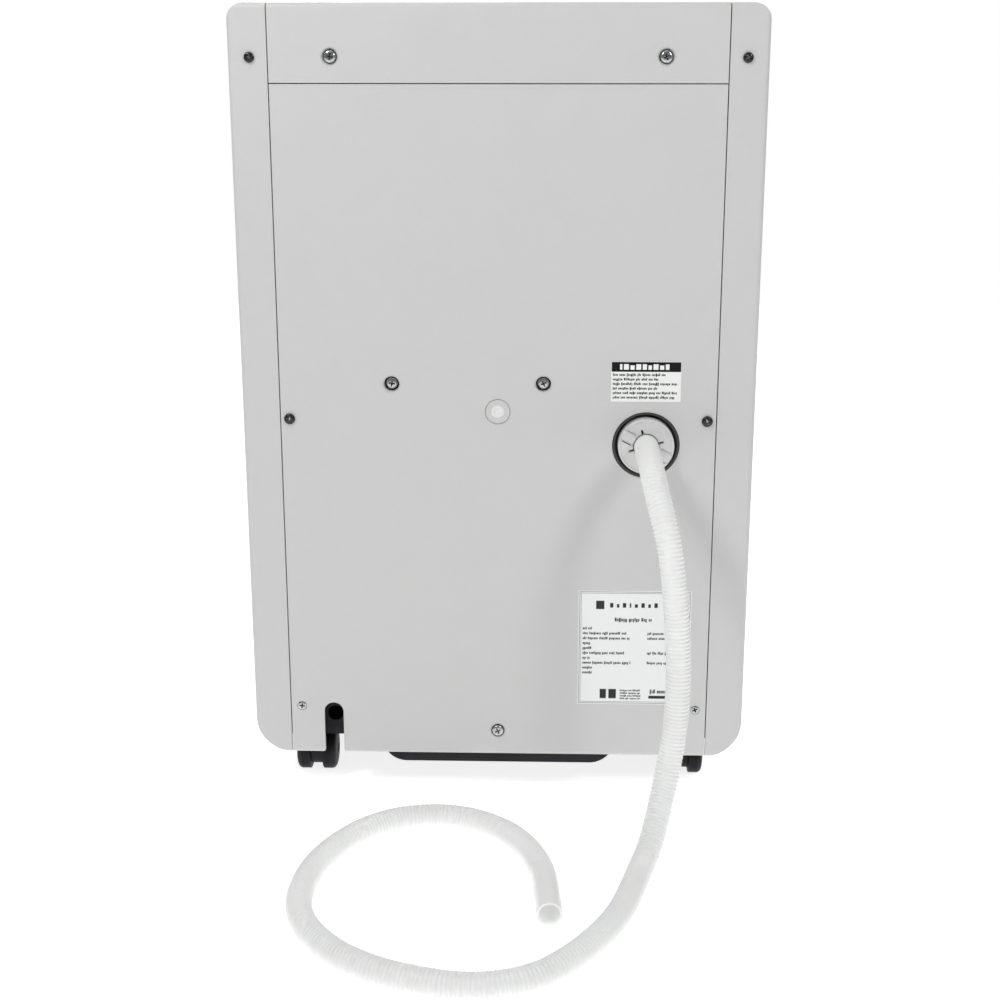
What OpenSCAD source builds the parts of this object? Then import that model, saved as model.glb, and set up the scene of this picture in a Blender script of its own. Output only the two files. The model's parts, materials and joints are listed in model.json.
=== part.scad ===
// Portable room dehumidifier on casters, with a rear drain outlet and its drain hose.
// Origin: on the floor, under the middle of the cabinet. +Z up, the front faces -Y.

/* [Cabinet] */
// Width over the side panels
cabinet_w = 392; // [388:1:396]
// Depth from the front face to the rear panel
cabinet_d = 282; // [280:1:284]
// Height of the top deck above the floor
cabinet_h = 616; // [612:1:620]
// Height of the panels' bottom edge above the floor
skirt_z = 31.5; // [31:0.5:33]
// Thickness of the moulded panels
wall = 3; // [2.8:0.1:3.2]
// Gap left at each seam between two panels
seam = 0.7; // [0.4:0.1:0.8]
// Width of the strip by which a side panel wraps onto the rear, front and top
strip_w = 28.8; // [28:0.2:30]
// Height of the seam between the rear panel and the skirt of the top cover
skirt_seam_z = 560; // [556:1:564]
// Radius of the top corners seen from behind
top_corner_r = 13; // [10:1:16]
// Radius of the bottom corners seen from behind
bottom_corner_r = 32; // [30:1:34]
// Radius along the rear edges
rear_edge_r = 4; // [3:0.5:6]
// Radius along the front edges
front_edge_r = 14; // [12:1:16]

/* [Drain outlet] */
// Distance of the drain outlet from the middle
port_x = 113.5; // [110:0.5:116]
// Height of the drain outlet
port_z = 291; // [289:0.5:292]
// Radius of the dark socket around the drain cap
port_r = 25.6; // [25:0.1:26]
// Radius of the drain cap
cap_r = 21.5; // [21:0.1:22]
// How far the grip bar of the cap stands out of the rear panel
cap_proud = 8; // [7:0.5:9]
// Outer radius of the drain hose
hose_r = 9.5; // [9:0.1:9.6]

/* [Cord notch] */
// Distance of the cord notch from the middle
notch_x = 132.4; // [130:0.2:134]
// Half of the notch's width
notch_r = 7.7; // [7:0.1:8]
// Height of the top of the notch
notch_top_z = 75.6; // [74:0.2:78]

/* [Casters] */
// Distance of the casters from the middle
caster_x = 152; // [150:1:153]
// Radius of the wheels
wheel_r = 17.5; // [17:0.5:18]
// Width of one wheel
wheel_w = 12; // [11:0.5:12]
// Distance from a swivel stem back to its axle
trail = 12; // [10:1:13]

/* [Water bucket] */
// Half of the bucket's width
bucket_half_w = 148; // [144:1:150]
// Height of the bucket's rim
rim_z = 222; // [210:1:224]
// Length of the carrying bail's arms
bail_arm = 45; // [40:1:46]

/* [Control panel] */
// Length of a button
button_l = 20; // [18:1:22]
// Width of a button
button_w = 10; // [9:1:11]
// Travel of a button
button_travel = 1; // [0.8:0.1:1.2]

/* [Hidden] */
$fn = 64;

shell_grey = "#d8dad8";
trim_grey = "#c9cccb";
black_plastic = "#1d1e20";

half_w = cabinet_w / 2;
rear_y = (cabinet_d - cap_proud) / 2;
front_y = rear_y - cabinet_d;
inner_rear_y = rear_y - wall;
inner_front_y = front_y + wall;
inner_top_z = cabinet_h - wall;
strip_x = half_w - strip_w;
plate_x = strip_x - seam;
far = 500;
eps = 0.01;

// Height of the underside of the base pan's floor, and the floor's thickness
base_z = 47.5;
base_t = 3;
base_half_w = 186;
base_rear_y = rear_y - 11;
belly_z = 24;
belly_half_w = 94;
belly_r = 20;
cord_z = 62;
cord_r = 6.35;
base_lip_z = 43.5;
relief_z = 45;
relief_x = 176;
arch_r = 36;

// Front openings: bucket below, intake above
bucket_top_z = 295;
bucket_low_z = 46.5;
front_top_z = 588;
intake_x = 140;
intake_low_z = 322;
intake_high_z = 572;
filter_y = front_y + 15;
filter_t = 5;
filter_x = 146;
filter_low_z = 318;
filter_high_z = 576;
tab_y = filter_y + 20;
tab_low_z = 410;
tab_high_z = 484;

// Hand grips in the sides
grip_y = 58;
grip_low_z = 500;
grip_high_z = 538;
grip_depth = 22;

// Top deck openings
outlet_x = 110;
outlet_y0 = -40;
outlet_y1 = 30;
console_x = 124;
console_y0 = -124;
console_y1 = -62;
console_z = cabinet_h - 2;
button_y = -93;
button_pitch = 26;

// Middle deck between the bucket bay and the air side
deck_z = 300;
deck_t = 2.5;
partition_y = -8;

// Fan axis
fan_z = 440;
fan_r = 118;
fan_y0 = -44;
fan_y1 = 34;
fan_inlet_r = 72;
blower_r = 94;

// Bucket
tub_y0 = front_y + 7;
tub_y1 = -16;
tub_z = base_z + base_t + 3.5;
pivot_y = -77;
pivot_z = rim_z + 8;
ear_x = 144;
float_x = 118;
float_pivot_y = -26;
float_pivot_z = rim_z - 8;

// Left edge of the control box
control_x = -167;

// Caster stems
rear_stem_y = 83;
front_stem_y = -97;
axle_gap = 5;

// Compressor
comp_x = 20;
comp_y = 62;
comp_r = 52;
comp_low_z = 44;
comp_high_z = 235;
comp_foot_r = 54;
comp_foot_angles = [30, 150, 270];
tank_x = comp_x - 76;
// Distance of the upright pipe runs from the middle
pipe_x = 158;
tank_y = comp_y + 16;

// Screw places on the rear, as [x, z]
skirt_screw_at = [[-121.5, 578.6], [121.5, 578.6]];
pocket_screw_at = [[-34.7, 338], [81, 337.5]];
low_screw_at = [[0, 53]];
strip_screw_at = [[-180, 578], [180, 578]];
edge_screw_at = [[-159.8, 310], [159.8, 310]];
lower_screw_at = [[-158, 72.5], [158, 72.5]];
lower_seat_r = 3.8;

// Ring moulded into the middle of the rear panel
ring_z = 316.5;
ring_r = 9.8;

// The drain hose: out of the outlet, down to the floor and round in one open loop
hose_route = [
    [-port_x, rear_y + 0.5, port_z], [-port_x, rear_y + 7, port_z], [-port_x, rear_y + 14, port_z],
    [-port_x - 1.5, rear_y + 41, port_z - 5], [-port_x - 4.5, rear_y + 63, port_z - 18],
    [-123, 216, 254], [-128, 224, 232], [-132, 228, 200], [-135, 229, 165],
    [-136, 230, 130], [-134.5, 231, 100], [-130, 235, 67], [-124, 245, 42],
    [-116, 266, 21], [-106, 293, 11], [-93, 338, 9.6], [-79, 370, 9.6],
    [-59, 401, 9.6], [-36, 425, 9.6], [-10, 437, 9.6], [18, 439, 9.6],
    [48, 432, 9.6], [76, 420, 9.6], [101, 401, 9.6], [121, 375, 9.6],
    [132, 347, 9.6], [134, 316, 9.6], [129, 284, 9.6], [117, 254, 9.6],
    [99, 228, 9.6], [77, 211, 9.6], [54, 204, 9.6], [31, 205, 9.6],
    [8, 215, 9.6], [-13, 234, 9.6], [-28, 260, 9.6], [-37, 291, 9.6],
    [-40, 320, 9.6], [-42, 350, 9.6]
];
hose_steps = 2;

// ---- Tubes swept along a route ----

function unit(v) = v / norm(v);

// Point on a Catmull-Rom curve through the route, t counted in route points
function route_point(route, t) =
    let (n = len(route) - 1, i = min(floor(t), n - 1), f = t - i,
         a = i > 0 ? route[i - 1] : 2 * route[0] - route[1],
         b = route[i], c = route[i + 1],
         d = i + 2 <= n ? route[i + 2] : 2 * route[n] - route[n - 1])
    0.5 * (2 * b + (c - a) * f + (2 * a - 5 * b + 4 * c - d) * f * f
           + (3 * b - a - 3 * c + d) * f * f * f);

function curve(route, steps) =
    [for (k = [0 : (len(route) - 1) * steps]) route_point(route, k / steps)];

function tangents(points) =
    let (n = len(points) - 1)
    [for (k = [0 : n]) unit(points[min(k + 1, n)] - points[max(k - 1, 0)])];

function any_across(t) = unit(cross(t, abs(t.z) < 0.9 ? [0, 0, 1] : [1, 0, 0]));

// Side vectors carried along the tangents without twist
function sides_along(ts) =
    [for (k = 0, s = any_across(ts[0]); k < len(ts);
          k = k + 1, s = k < len(ts) ? unit(s - (s * ts[k]) * ts[k]) : s) s];

function ring(centre, t, s, r, sides) =
    let (u = cross(t, s))
    [for (k = [0 : sides - 1])
        let (a = 360 * k / sides) centre + r * (cos(a) * s + sin(a) * u)];

module swept_tube(points, r, sides) {
    ts = tangents(points);
    ss = sides_along(ts);
    n = len(points);
    corners = [for (k = [0 : n - 1]) each ring(points[k], ts[k], ss[k], r, sides)];
    walls = [for (k = [0 : n - 2], j = [0 : sides - 1])
        let (a = k * sides + j, b = k * sides + (j + 1) % sides)
        each [[a, b, b + sides], [a, b + sides, a + sides]]];
    caps = [[for (j = [sides - 1 : -1 : 0]) j], [for (j = [0 : sides - 1]) (n - 1) * sides + j]];
    faces = [for (f = concat(walls, caps)) [for (m = [len(f) - 1 : -1 : 0]) f[m]]];
    polyhedron(points = corners, faces = faces);
}

// ---- Plain shapes ----

module box(x0, x1, y0, y1, z0, z1) {
    translate([x0, y0, z0]) cube([x1 - x0, y1 - y0, z1 - z0]);
}

module rod_x(x0, x1, y, z, r) {
    translate([x0, y, z]) rotate([0, 90, 0]) cylinder(h = x1 - x0, r = r);
}

module rod_y(x, y0, y1, z, r) {
    translate([x, y1, z]) rotate([90, 0, 0]) cylinder(h = y1 - y0, r = r);
}

module rod_z(x, y, z0, z1, r) {
    translate([x, y, z0]) cylinder(h = z1 - z0, r = r);
}

// Extrudes an outline drawn in x and z from y0 to y1
module along_y(y0, y1) {
    translate([0, y1, 0]) rotate([90, 0, 0]) linear_extrude(y1 - y0) children();
}

// Extrudes an outline drawn in y and z from x0 to x1
module along_x(x0, x1) {
    translate([x0, 0, 0]) rotate([90, 0, 90]) linear_extrude(x1 - x0) children();
}

// The sliver outside one rounded corner of a rectangle; sx and sy point inwards
module corner_sliver(x, y, sx, sy, r) {
    translate([x, y]) mirror([sx < 0 ? 1 : 0, 0, 0]) mirror([0, sy < 0 ? 1 : 0, 0])
        difference() {
            translate([-1, -1]) square(r + 1);
            translate([r, r]) circle(r);
        }
}

// Rectangle with a radius of its own at each corner
module rounded(x0, y0, x1, y1, low_left, low_right, high_right, high_left) {
    difference() {
        translate([x0, y0]) square([x1 - x0, y1 - y0]);
        corner_sliver(x0, y0, 1, 1, low_left);
        corner_sliver(x1, y0, -1, 1, low_right);
        corner_sliver(x1, y1, -1, -1, high_right);
        corner_sliver(x0, y1, 1, -1, high_left);
    }
}

module rounded_even(x0, y0, x1, y1, r) {
    rounded(x0, y0, x1, y1, r, r, r, r);
}

module pill(l, w) {
    square([l - w, w], center = true);
    for (s = [-1, 1])
        translate([s * (l - w) / 2, 0]) circle(d = w);
}

// ---- Cabinet form and panels ----

// The outside of the cabinet, moved inwards by i
module cabinet_form(i = 0) {
    intersection() {
        along_y(-far, far)
            rounded(-half_w + i, skirt_z + i, half_w - i, cabinet_h - i,
                    bottom_corner_r - i, bottom_corner_r - i, top_corner_r - i, top_corner_r - i);
        linear_extrude(cabinet_h + far)
            rounded(-half_w + i, front_y + i, half_w - i, rear_y - i,
                    front_edge_r - i, front_edge_r - i, rear_edge_r - i * 0.5, rear_edge_r - i * 0.5);
        along_x(-far, far)
            rounded(front_y + i, skirt_z + i, rear_y - i, cabinet_h - i,
                    4, 4, rear_edge_r - i * 0.5, front_edge_r - i);
    }
}

module cabinet_shell() {
    difference() {
        cabinet_form();
        cabinet_form(wall);
    }
}

module screw_holes(places, y0, r) {
    for (p = places)
        rod_y(p[0], y0, rear_y + 1, p[1], r);
}

module hand_grip() {
    difference() {
        box(half_w - grip_depth - 2.5, half_w - wall + eps, -grip_y - 2.5, grip_y + 2.5,
            grip_low_z - 2.5, grip_high_z + 2.5);
        grip_space();
    }
}

module grip_space() {
    translate([half_w - grip_depth, 0, 0]) rotate([90, 0, 90]) linear_extrude(grip_depth + 1)
        rounded_even(-grip_y, grip_low_z, grip_y, grip_high_z, 8);
}

module filter_slot() {
    box(half_w - wall - 1, half_w + 1, filter_y - 0.4, filter_y + filter_t + 0.4,
        filter_low_z - 0.5, filter_high_z + 0.5);
    box(half_w - wall - 1, half_w + 1, filter_y - 0.4, tab_y + 0.4,
        tab_low_z - 0.4, tab_high_z + 0.4);
}

// The right-hand side panel; the left one is its mirror image without the filter slot
module side_panel() {
    difference() {
        union() {
            intersection() {
                cabinet_shell();
                box(strip_x, far, -far, far, 0, far * 2);
            }
            hand_grip();
        }
        grip_space();
        box(strip_x - 1, relief_x, inner_front_y, inner_rear_y, 0, relief_z);
        for (y = [front_stem_y, rear_stem_y])
            rod_z(caster_x, y, 0, relief_z, arch_r);
        screw_holes(strip_screw_at, inner_rear_y - 1, 2.1);
    }
}

module left_side_panel() {
    color(shell_grey)
        mirror([1, 0, 0]) side_panel();
}

module right_side_panel() {
    color(shell_grey)
        difference() {
            side_panel();
            filter_slot();
        }
}

module cord_notch() {
    along_y(inner_rear_y - 1, rear_y + 1) {
        translate([notch_x, notch_top_z - notch_r]) circle(notch_r);
        translate([notch_x - notch_r, 0]) square([2 * notch_r, notch_top_z - notch_r]);
        corner_sliver(notch_x + notch_r, skirt_z, 1, 1, 3);
        corner_sliver(notch_x - notch_r, skirt_z, -1, 1, 1);
    }
}

module rear_panel() {
    color(shell_grey)
        difference() {
            union() {
                intersection() {
                    cabinet_form();
                    box(-plate_x, plate_x, inner_rear_y, far, 0, skirt_seam_z - seam);
                }
                for (p = pocket_screw_at)
                    rod_y(p[0], rear_y - 8, inner_rear_y + eps, p[1], 9.5);
                for (s = [-1, 1])
                    box(s * (plate_x - 3) - 1.25, s * (plate_x - 3) + 1.25,
                        inner_rear_y - 6, inner_rear_y + eps, 330, skirt_seam_z - 8);
            }
            for (p = pocket_screw_at)
                rod_y(p[0], rear_y - 5.5, rear_y + 1, p[1], 7);
            difference() {
                rod_y(0, rear_y - 0.5, rear_y + 1, ring_z, ring_r);
                rod_y(0, rear_y - 1, rear_y + 2, ring_z, ring_r - 0.6);
            }
            rod_y(low_screw_at[0][0], rear_y - 0.8, rear_y + 1, low_screw_at[0][1], 6);
            rod_y(-port_x, inner_rear_y - 1, rear_y + 1, port_z, port_r + 0.2);
            cord_notch();
            screw_holes(pocket_screw_at, rear_y - 9, 2.1);
            screw_holes(concat(low_screw_at, edge_screw_at, lower_screw_at), inner_rear_y - 1, 2.1);
            screw_holes(lower_screw_at, rear_y - 1.6, lower_seat_r);
        }
}

module top_cover() {
    color(shell_grey)
        difference() {
            intersection() {
                cabinet_shell();
                union() {
                    box(-plate_x, plate_x, -far, 0, front_top_z + seam, far * 2);
                    box(-plate_x, plate_x, -eps, far, skirt_seam_z, far * 2);
                }
            }
            linear_extrude(cabinet_h + 1)
                rounded_even(-outlet_x, outlet_y0, outlet_x, outlet_y1, 6);
            linear_extrude(cabinet_h + 1)
                rounded_even(-console_x, console_y0, console_x, console_y1, 8);
            screw_holes(skirt_screw_at, rear_y - 1.4, 6.6);
            screw_holes(skirt_screw_at, inner_rear_y - 1, 2.1);
        }
}

module front_cover() {
    color(shell_grey) {
        difference() {
            intersection() {
                cabinet_shell();
                box(-plate_x, plate_x, -far, inner_front_y, bucket_top_z + seam, front_top_z);
            }
            along_y(front_y - 1, inner_front_y + 1)
                rounded_even(-intake_x, intake_low_z, intake_x, intake_high_z, 6);
        }
        for (z = [filter_low_z - 3.5, filter_high_z + 0.5])
            box(-filter_x, filter_x, inner_front_y - eps, filter_y + filter_t + 2, z, z + 3);
    }
}

module intake_grille() {
    slat_pitch = 9.6;
    slats = 25;
    color(trim_grey) {
        difference() {
            along_y(front_y + 0.6, inner_front_y + 4)
                rounded_even(-intake_x + 0.3, intake_low_z + 0.3, intake_x - 0.3, intake_high_z - 0.3, 5.7);
            along_y(front_y - 1, inner_front_y + 5)
                rounded_even(-intake_x + 5, intake_low_z + 5, intake_x - 5, intake_high_z - 5, 3);
        }
        for (k = [0 : slats - 1])
            along_x(-intake_x + 5 - eps, intake_x - 5 + eps)
                translate([front_y + 1.2, intake_low_z + 6 + k * slat_pitch])
                    polygon([[0, 2.4], [5.4, 5.6], [5.4, 7.6], [0, 4.8]]);
        for (x = [-70, 0, 70])
            box(x - 1, x + 1, front_y + 4.2, inner_front_y + 4, intake_low_z + 4, intake_high_z - 4);
    }
}

module air_filter() {
    color("#4a4e52") {
        difference() {
            box(-filter_x, filter_x, filter_y, filter_y + filter_t, filter_low_z, filter_high_z);
            for (k = [0 : 3], j = [0 : 2])
                translate([-filter_x + 8 + k * 70, filter_y - 1, filter_low_z + 8 + j * 82])
                    cube([66, filter_t - 0.4, 78]);
        }
        difference() {
            union() {
                box(half_w - wall - eps, half_w, filter_y, tab_y, tab_low_z, tab_high_z);
                box(filter_x - eps, half_w, filter_y, filter_y + filter_t, filter_low_z, filter_high_z);
            }
            box(half_w - wall - 1, half_w + 1, filter_y + 8, tab_y - 3, tab_low_z + 8, tab_high_z - 8);
            for (j = [0 : 2])
                translate([filter_x + 2, filter_y - 1, filter_low_z + 8 + j * 82])
                    cube([40, filter_t - 0.4, 78]);
        }
    }
}

module outlet_grille() {
    louvres = 8;
    pitch = (outlet_y1 - outlet_y0 - 8) / louvres;
    color(trim_grey) {
        difference() {
            translate([0, 0, cabinet_h - 9]) linear_extrude(8.6)
                rounded_even(-outlet_x + 0.3, outlet_y0 + 0.3, outlet_x - 0.3, outlet_y1 - 0.3, 5.7);
            translate([0, 0, cabinet_h - 10]) linear_extrude(12)
                rounded_even(-outlet_x + 4, outlet_y0 + 4, outlet_x - 4, outlet_y1 - 4, 2);
        }
        for (k = [0 : louvres - 1])
            along_x(-outlet_x + 4 - eps, outlet_x - 4 + eps)
                translate([outlet_y0 + 4 + k * pitch, cabinet_h - 9])
                    polygon([[1, 0], [2.8, 0], [6.4, 8], [4.6, 8]]);
        for (x = [-54, 0, 54])
            box(x - 1, x + 1, outlet_y0 + 3, outlet_y1 - 3, cabinet_h - 9, cabinet_h - 4);
    }
}

// ---- Controls ----

module control_panel() {
    color("#33363a")
        difference() {
            union() {
                translate([0, 0, console_z - 4.5]) linear_extrude(4.5)
                    rounded_even(-console_x + 0.3, console_y0 + 0.3, console_x - 0.3, console_y1 - 0.3, 7.7);
                translate([0, 0, inner_top_z - 3]) linear_extrude(3)
                    rounded_even(-console_x - 4, console_y0 - 3, console_x + 4, console_y1 + 4, 8);
            }
            translate([0, 0, inner_top_z - 4]) linear_extrude(2.5)
                rounded_even(-console_x + 3, console_y0 + 3, console_x - 3, console_y1 - 3, 5);
            for (k = [0 : 5])
                translate([button_place(k), button_y, 0]) linear_extrude(cabinet_h)
                    pill(button_l + 0.8, button_w + 0.8);
            translate([0, button_y, console_z - 1]) linear_extrude(2)
                rounded_even(-32, -13, 32, 13, 3);
            translate([0, button_y, 0]) linear_extrude(cabinet_h)
                rounded_even(-28, -9, 28, 9, 2);
        }
}

// Three buttons on each side of the display
function button_place(k) = (k < 3 ? -1 : 1) * (52 + (k < 3 ? 2 - k : k - 3) * button_pitch);

module button(k) {
    color("#e6e8e8")
        translate([button_place(k), button_y, 0]) {
            translate([0, 0, inner_top_z - 4.6]) linear_extrude(console_z + 1.4 - inner_top_z + 4.6)
                pill(button_l, button_w);
            translate([0, 0, inner_top_z - 4.6]) linear_extrude(2)
                pill(button_l + 3.4, button_w + 3.4);
        }
}

module power_button() {
    button(0);
}

module mode_button() {
    button(1);
}

module fan_button() {
    button(2);
}

module timer_button() {
    button(3);
}

module down_button() {
    button(4);
}

module up_button() {
    button(5);
}

module display_window() {
    color("#101418")
        translate([0, button_y, console_z - 1]) linear_extrude(1)
            rounded_even(-31.8, -12.8, 31.8, 12.8, 2.8);
}

module display_board() {
    board_z = inner_top_z - 14;
    color("#1f6b3a") {
        box(-console_x + 6, console_x - 6, console_y0 + 6, console_y1 - 6, board_z, board_z + 1.6);
        for (k = [0 : 5])
            rod_z(button_place(k), button_y, board_z + 1.6 - eps, inner_top_z - 4.8 - button_travel, 2.5);
        for (x = [-15, 15])
            box(x - 11, x + 11, button_y - 7, button_y + 7, board_z + 1.6 - eps, board_z + 8);
        for (x = [-console_x + 12, console_x - 12], y = [console_y0 + 11, console_y1 - 11])
            rod_z(x, y, board_z + 1.6 - eps, inner_top_z - 1.5, 3);
    }
}

// ---- Base, casters ----

module base_pan() {
    color(black_plastic)
        difference() {
            union() {
                intersection() {
                    cabinet_form(wall + 0.5);
                    box(-base_half_w, base_half_w, inner_front_y + 1, base_rear_y, base_z, base_z + 28);
                }
                along_y(inner_front_y + 14, base_rear_y)
                    rounded(-belly_half_w, belly_z, belly_half_w, base_z + 6, belly_r, belly_r, 1, 1);
                along_y(front_y + 0.5, inner_front_y + 2)
                    rounded(-plate_x, skirt_z + 0.5, plate_x, bucket_low_z - seam, 1, 1, 1, 1);
                box(-plate_x, plate_x, inner_front_y, inner_front_y + 5, bucket_low_z - 4, base_z + 1);
                box(-relief_x + 1, relief_x - 1, base_rear_y - 3, base_rear_y, base_lip_z, base_z + 1);
                along_y(base_rear_y - 3, inner_rear_y - 0.3)
                    rounded(-belly_half_w, belly_z, belly_half_w, base_z + 26, belly_r, belly_r, 2, 2);
            }
            // inside of the tray, low enough at the front for the bucket to slide out
            box(-base_half_w + 3, base_half_w - 3, -far, base_rear_y - 3, base_z + base_t, base_z + far);
            along_y(inner_front_y + 17, base_rear_y - 3)
                rounded(-belly_half_w + 3, belly_z + 3, belly_half_w - 3, base_z + 10,
                        belly_r - 3, belly_r - 3, 1, 1);
            for (x = [-caster_x, caster_x], y = [front_stem_y, rear_stem_y])
                rod_z(x, y, base_z - 1, base_z + 12, 4);
            rod_y(notch_x, base_rear_y - 4, base_rear_y + 1, cord_z, cord_r);
            screw_holes(low_screw_at, base_rear_y - 4, 2.1);
        }
    color(black_plastic)
        for (x = [-caster_x, caster_x], y = [front_stem_y, rear_stem_y])
            difference() {
                rod_z(x, y, base_z + base_t - eps, base_z + base_t + (y > 0 ? 12 : 2.5), 9);
                rod_z(x, y, base_z - 1, base_z + base_t + 13, 4);
            }
}

// Swivel fork of one caster, its stem at the origin and its axle behind it
module caster(x, y) {
    color("#232426")
        translate([x, y, 0])
            difference() {
                union() {
                    rod_z(0, 0, base_z - 4, base_z + base_t + (y > 0 ? 10 : 2), 3.95);
                    rod_z(0, 0, base_z - 4, base_z - 0.4, 10);
                    along_x(-axle_gap + 0.3, axle_gap - 0.3) {
                        translate([trail, wheel_r]) circle(wheel_r - 4.5);
                        polygon([[-6, base_z - 3], [-6, 30], [trail - 8, wheel_r - 4],
                                 [trail + 9, wheel_r], [7, base_z - 3]]);
                    }
                    along_x(-wheel_w - axle_gap + 2, wheel_w + axle_gap - 2)
                        polygon([[-8, base_z - 4], [-7, wheel_r * 2 + 5], [4, wheel_r * 2 + 1.5],
                                 [20, wheel_r * 2 + 1.5], [8, base_z - 4]]);
                }
                rod_x(-20, 20, trail, wheel_r, 3.05);
            }
}

// Both wheels of one caster on their axle
module wheels(x, y) {
    color("#161719")
        translate([x, y + trail, wheel_r]) {
            rod_x(-axle_gap - 1, axle_gap + 1, 0, 0, 3);
            for (s = [-1, 1])
                mirror([s < 0 ? 1 : 0, 0, 0]) translate([axle_gap, 0, 0]) rotate([0, 90, 0])
                    rotate_extrude() wheel_profile();
        }
}

module wheel_profile() {
    crown_r = 5;
    polygon([[0, 0], [wheel_r - 1.5, 0], [wheel_r, 1.5], [wheel_r, wheel_w - crown_r],
             for (a = [10 : 10 : 80]) [wheel_r - crown_r + crown_r * cos(a),
                                       wheel_w - crown_r + crown_r * sin(a)],
             [wheel_r - crown_r, wheel_w], [5, wheel_w], [4.4, wheel_w - 1], [0, wheel_w - 1]]);
}

module front_left_caster() {
    caster(-caster_x, front_stem_y);
}

module front_left_wheels() {
    wheels(-caster_x, front_stem_y);
}

module front_right_caster() {
    caster(caster_x, front_stem_y);
}

module front_right_wheels() {
    wheels(caster_x, front_stem_y);
}

module rear_left_caster() {
    caster(-caster_x, rear_stem_y);
}

module rear_left_wheels() {
    wheels(-caster_x, rear_stem_y);
}

module rear_right_caster() {
    caster(caster_x, rear_stem_y);
}

module rear_right_wheels() {
    wheels(caster_x, rear_stem_y);
}

// ---- Water bucket ----

module bucket_tub() {
    color("#3c4146")
        difference() {
            union() {
                translate([0, 0, tub_z]) linear_extrude(rim_z - tub_z)
                    rounded_even(-bucket_half_w, tub_y0, bucket_half_w, tub_y1, 14);
                for (x = [-100, 100], z = [tub_z + 20, rim_z - 20])
                    rod_y(x, inner_front_y, tub_y0 + 2, z, 6);
            }
            translate([0, 0, tub_z + 2.5]) linear_extrude(far)
                rounded_even(-bucket_half_w + 2.5, tub_y0 + 2.5, bucket_half_w - 2.5, tub_y1 - 2.5, 11.5);
        }
}

module front_window_outline() {
    translate([0, 150]) rotate(90) pill(120, 22);
}

module bucket_front() {
    color(shell_grey)
        difference() {
            union() {
                intersection() {
                    cabinet_form();
                    box(-plate_x, plate_x, -far, inner_front_y, bucket_low_z, bucket_top_z);
                }
                along_y(inner_front_y - eps, inner_front_y + 20)
                    rounded_even(-66, 244, 66, 284, 12);
            }
            along_y(front_y - 1, inner_front_y + 17.5)
                rounded_even(-63, 247, 63, 281, 9);
            along_y(front_y - 1, inner_front_y + 1)
                front_window_outline();
        }
}

module bucket_window() {
    color("#2b3034")
        along_y(front_y + 0.8, inner_front_y)
            front_window_outline();
}

module bucket_lid() {
    color("#5b6166") {
        difference() {
            translate([0, 0, rim_z]) linear_extrude(2.5)
                rounded_even(-bucket_half_w + 1, tub_y0 + 1, bucket_half_w - 1, tub_y1 - 1, 13);
            box(-40, 40, -95, -60, rim_z - 1, rim_z + 4);
            box(-136, -96, tub_y0 + 6, tub_y0 + 30, rim_z - 1, rim_z + 4);
        }
        for (s = [-1, 1])
            difference() {
                box(s * ear_x - 2, s * ear_x + 2, pivot_y - 7, pivot_y + 7, rim_z + 2.5 - eps, pivot_z + 7);
                rod_x(s * ear_x - 3, s * ear_x + 3, pivot_y, pivot_z, 3.05);
            }
        for (s = [-1, 1])
            difference() {
                box(float_x + s * 9 - 1.5, float_x + s * 9 + 1.5, float_pivot_y - 5, float_pivot_y + 5,
                    float_pivot_z - 5, rim_z + eps);
                rod_x(float_x - 12, float_x + 12, float_pivot_y, float_pivot_z, 2.05);
            }
    }
}

// Carrying bail, folded back on the lid
module bucket_handle() {
    color("#2a2d30") {
        for (s = [-1, 1]) {
            box(s * 138.5 - 3, s * 138.5 + 3, pivot_y, pivot_y + bail_arm - 4, pivot_z - 4, pivot_z + 4);
            rod_x(s * 138.5 - 3, s * 138.5 + 3, pivot_y, pivot_z, 4);
            rod_x(s * 140 - 4, s * 140 + 4, pivot_y, pivot_z, 3);
        }
        along_x(-141.5, 141.5)
            translate([pivot_y + bail_arm - 4, pivot_z]) circle(4);
    }
}

module float_lever() {
    color("#e9e3cf") {
        rod_x(float_x - 10.5, float_x + 10.5, float_pivot_y, float_pivot_z, 2);
        box(float_x - 5, float_x + 5, float_pivot_y - 24, float_pivot_y,
            float_pivot_z - 2, float_pivot_z + 2);
        translate([0, 0, float_pivot_z - 26]) linear_extrude(25)
            rounded_even(float_x - 16, float_pivot_y - 46, float_x + 16, float_pivot_y - 16, 5);
    }
}

module bucket_switch() {
    color("#202020") {
        box(-96, -72, partition_y - 6, partition_y, 150, 166);
        box(-86, -82, partition_y - 7.2, partition_y - 6 + eps, 155, 161);
    }
}

// ---- Inside frame ----

module chassis() {
    color("#b9bdbf")
        difference() {
            union() {
                box(-base_half_w + 4, base_half_w - 4, inner_front_y + 3, base_rear_y - 8,
                    deck_z, deck_z + deck_t);
                box(-base_half_w + 4, base_half_w - 4, partition_y, partition_y + 3,
                    base_z + base_t, deck_z + eps);
                for (s = [-1, 1])
                    box(s * 176 - 2, s * 176 + 2, 50, 80, base_z + base_t, deck_z + eps);
            }
            rod_y(-port_x, partition_y - 1, partition_y + 4, port_z, 8.4);
            rod_z(-port_x, -52, deck_z - 1, deck_z + 5, 7.4);
            rod_z(0, -77, deck_z - 1, deck_z + 5, 7.4);
            rod_z(pipe_x, 50, deck_z - 1, deck_z + 5, 8);
            rod_z(-pipe_x, 20, deck_z - 1, deck_z + 5, 8);
        }
}

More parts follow.
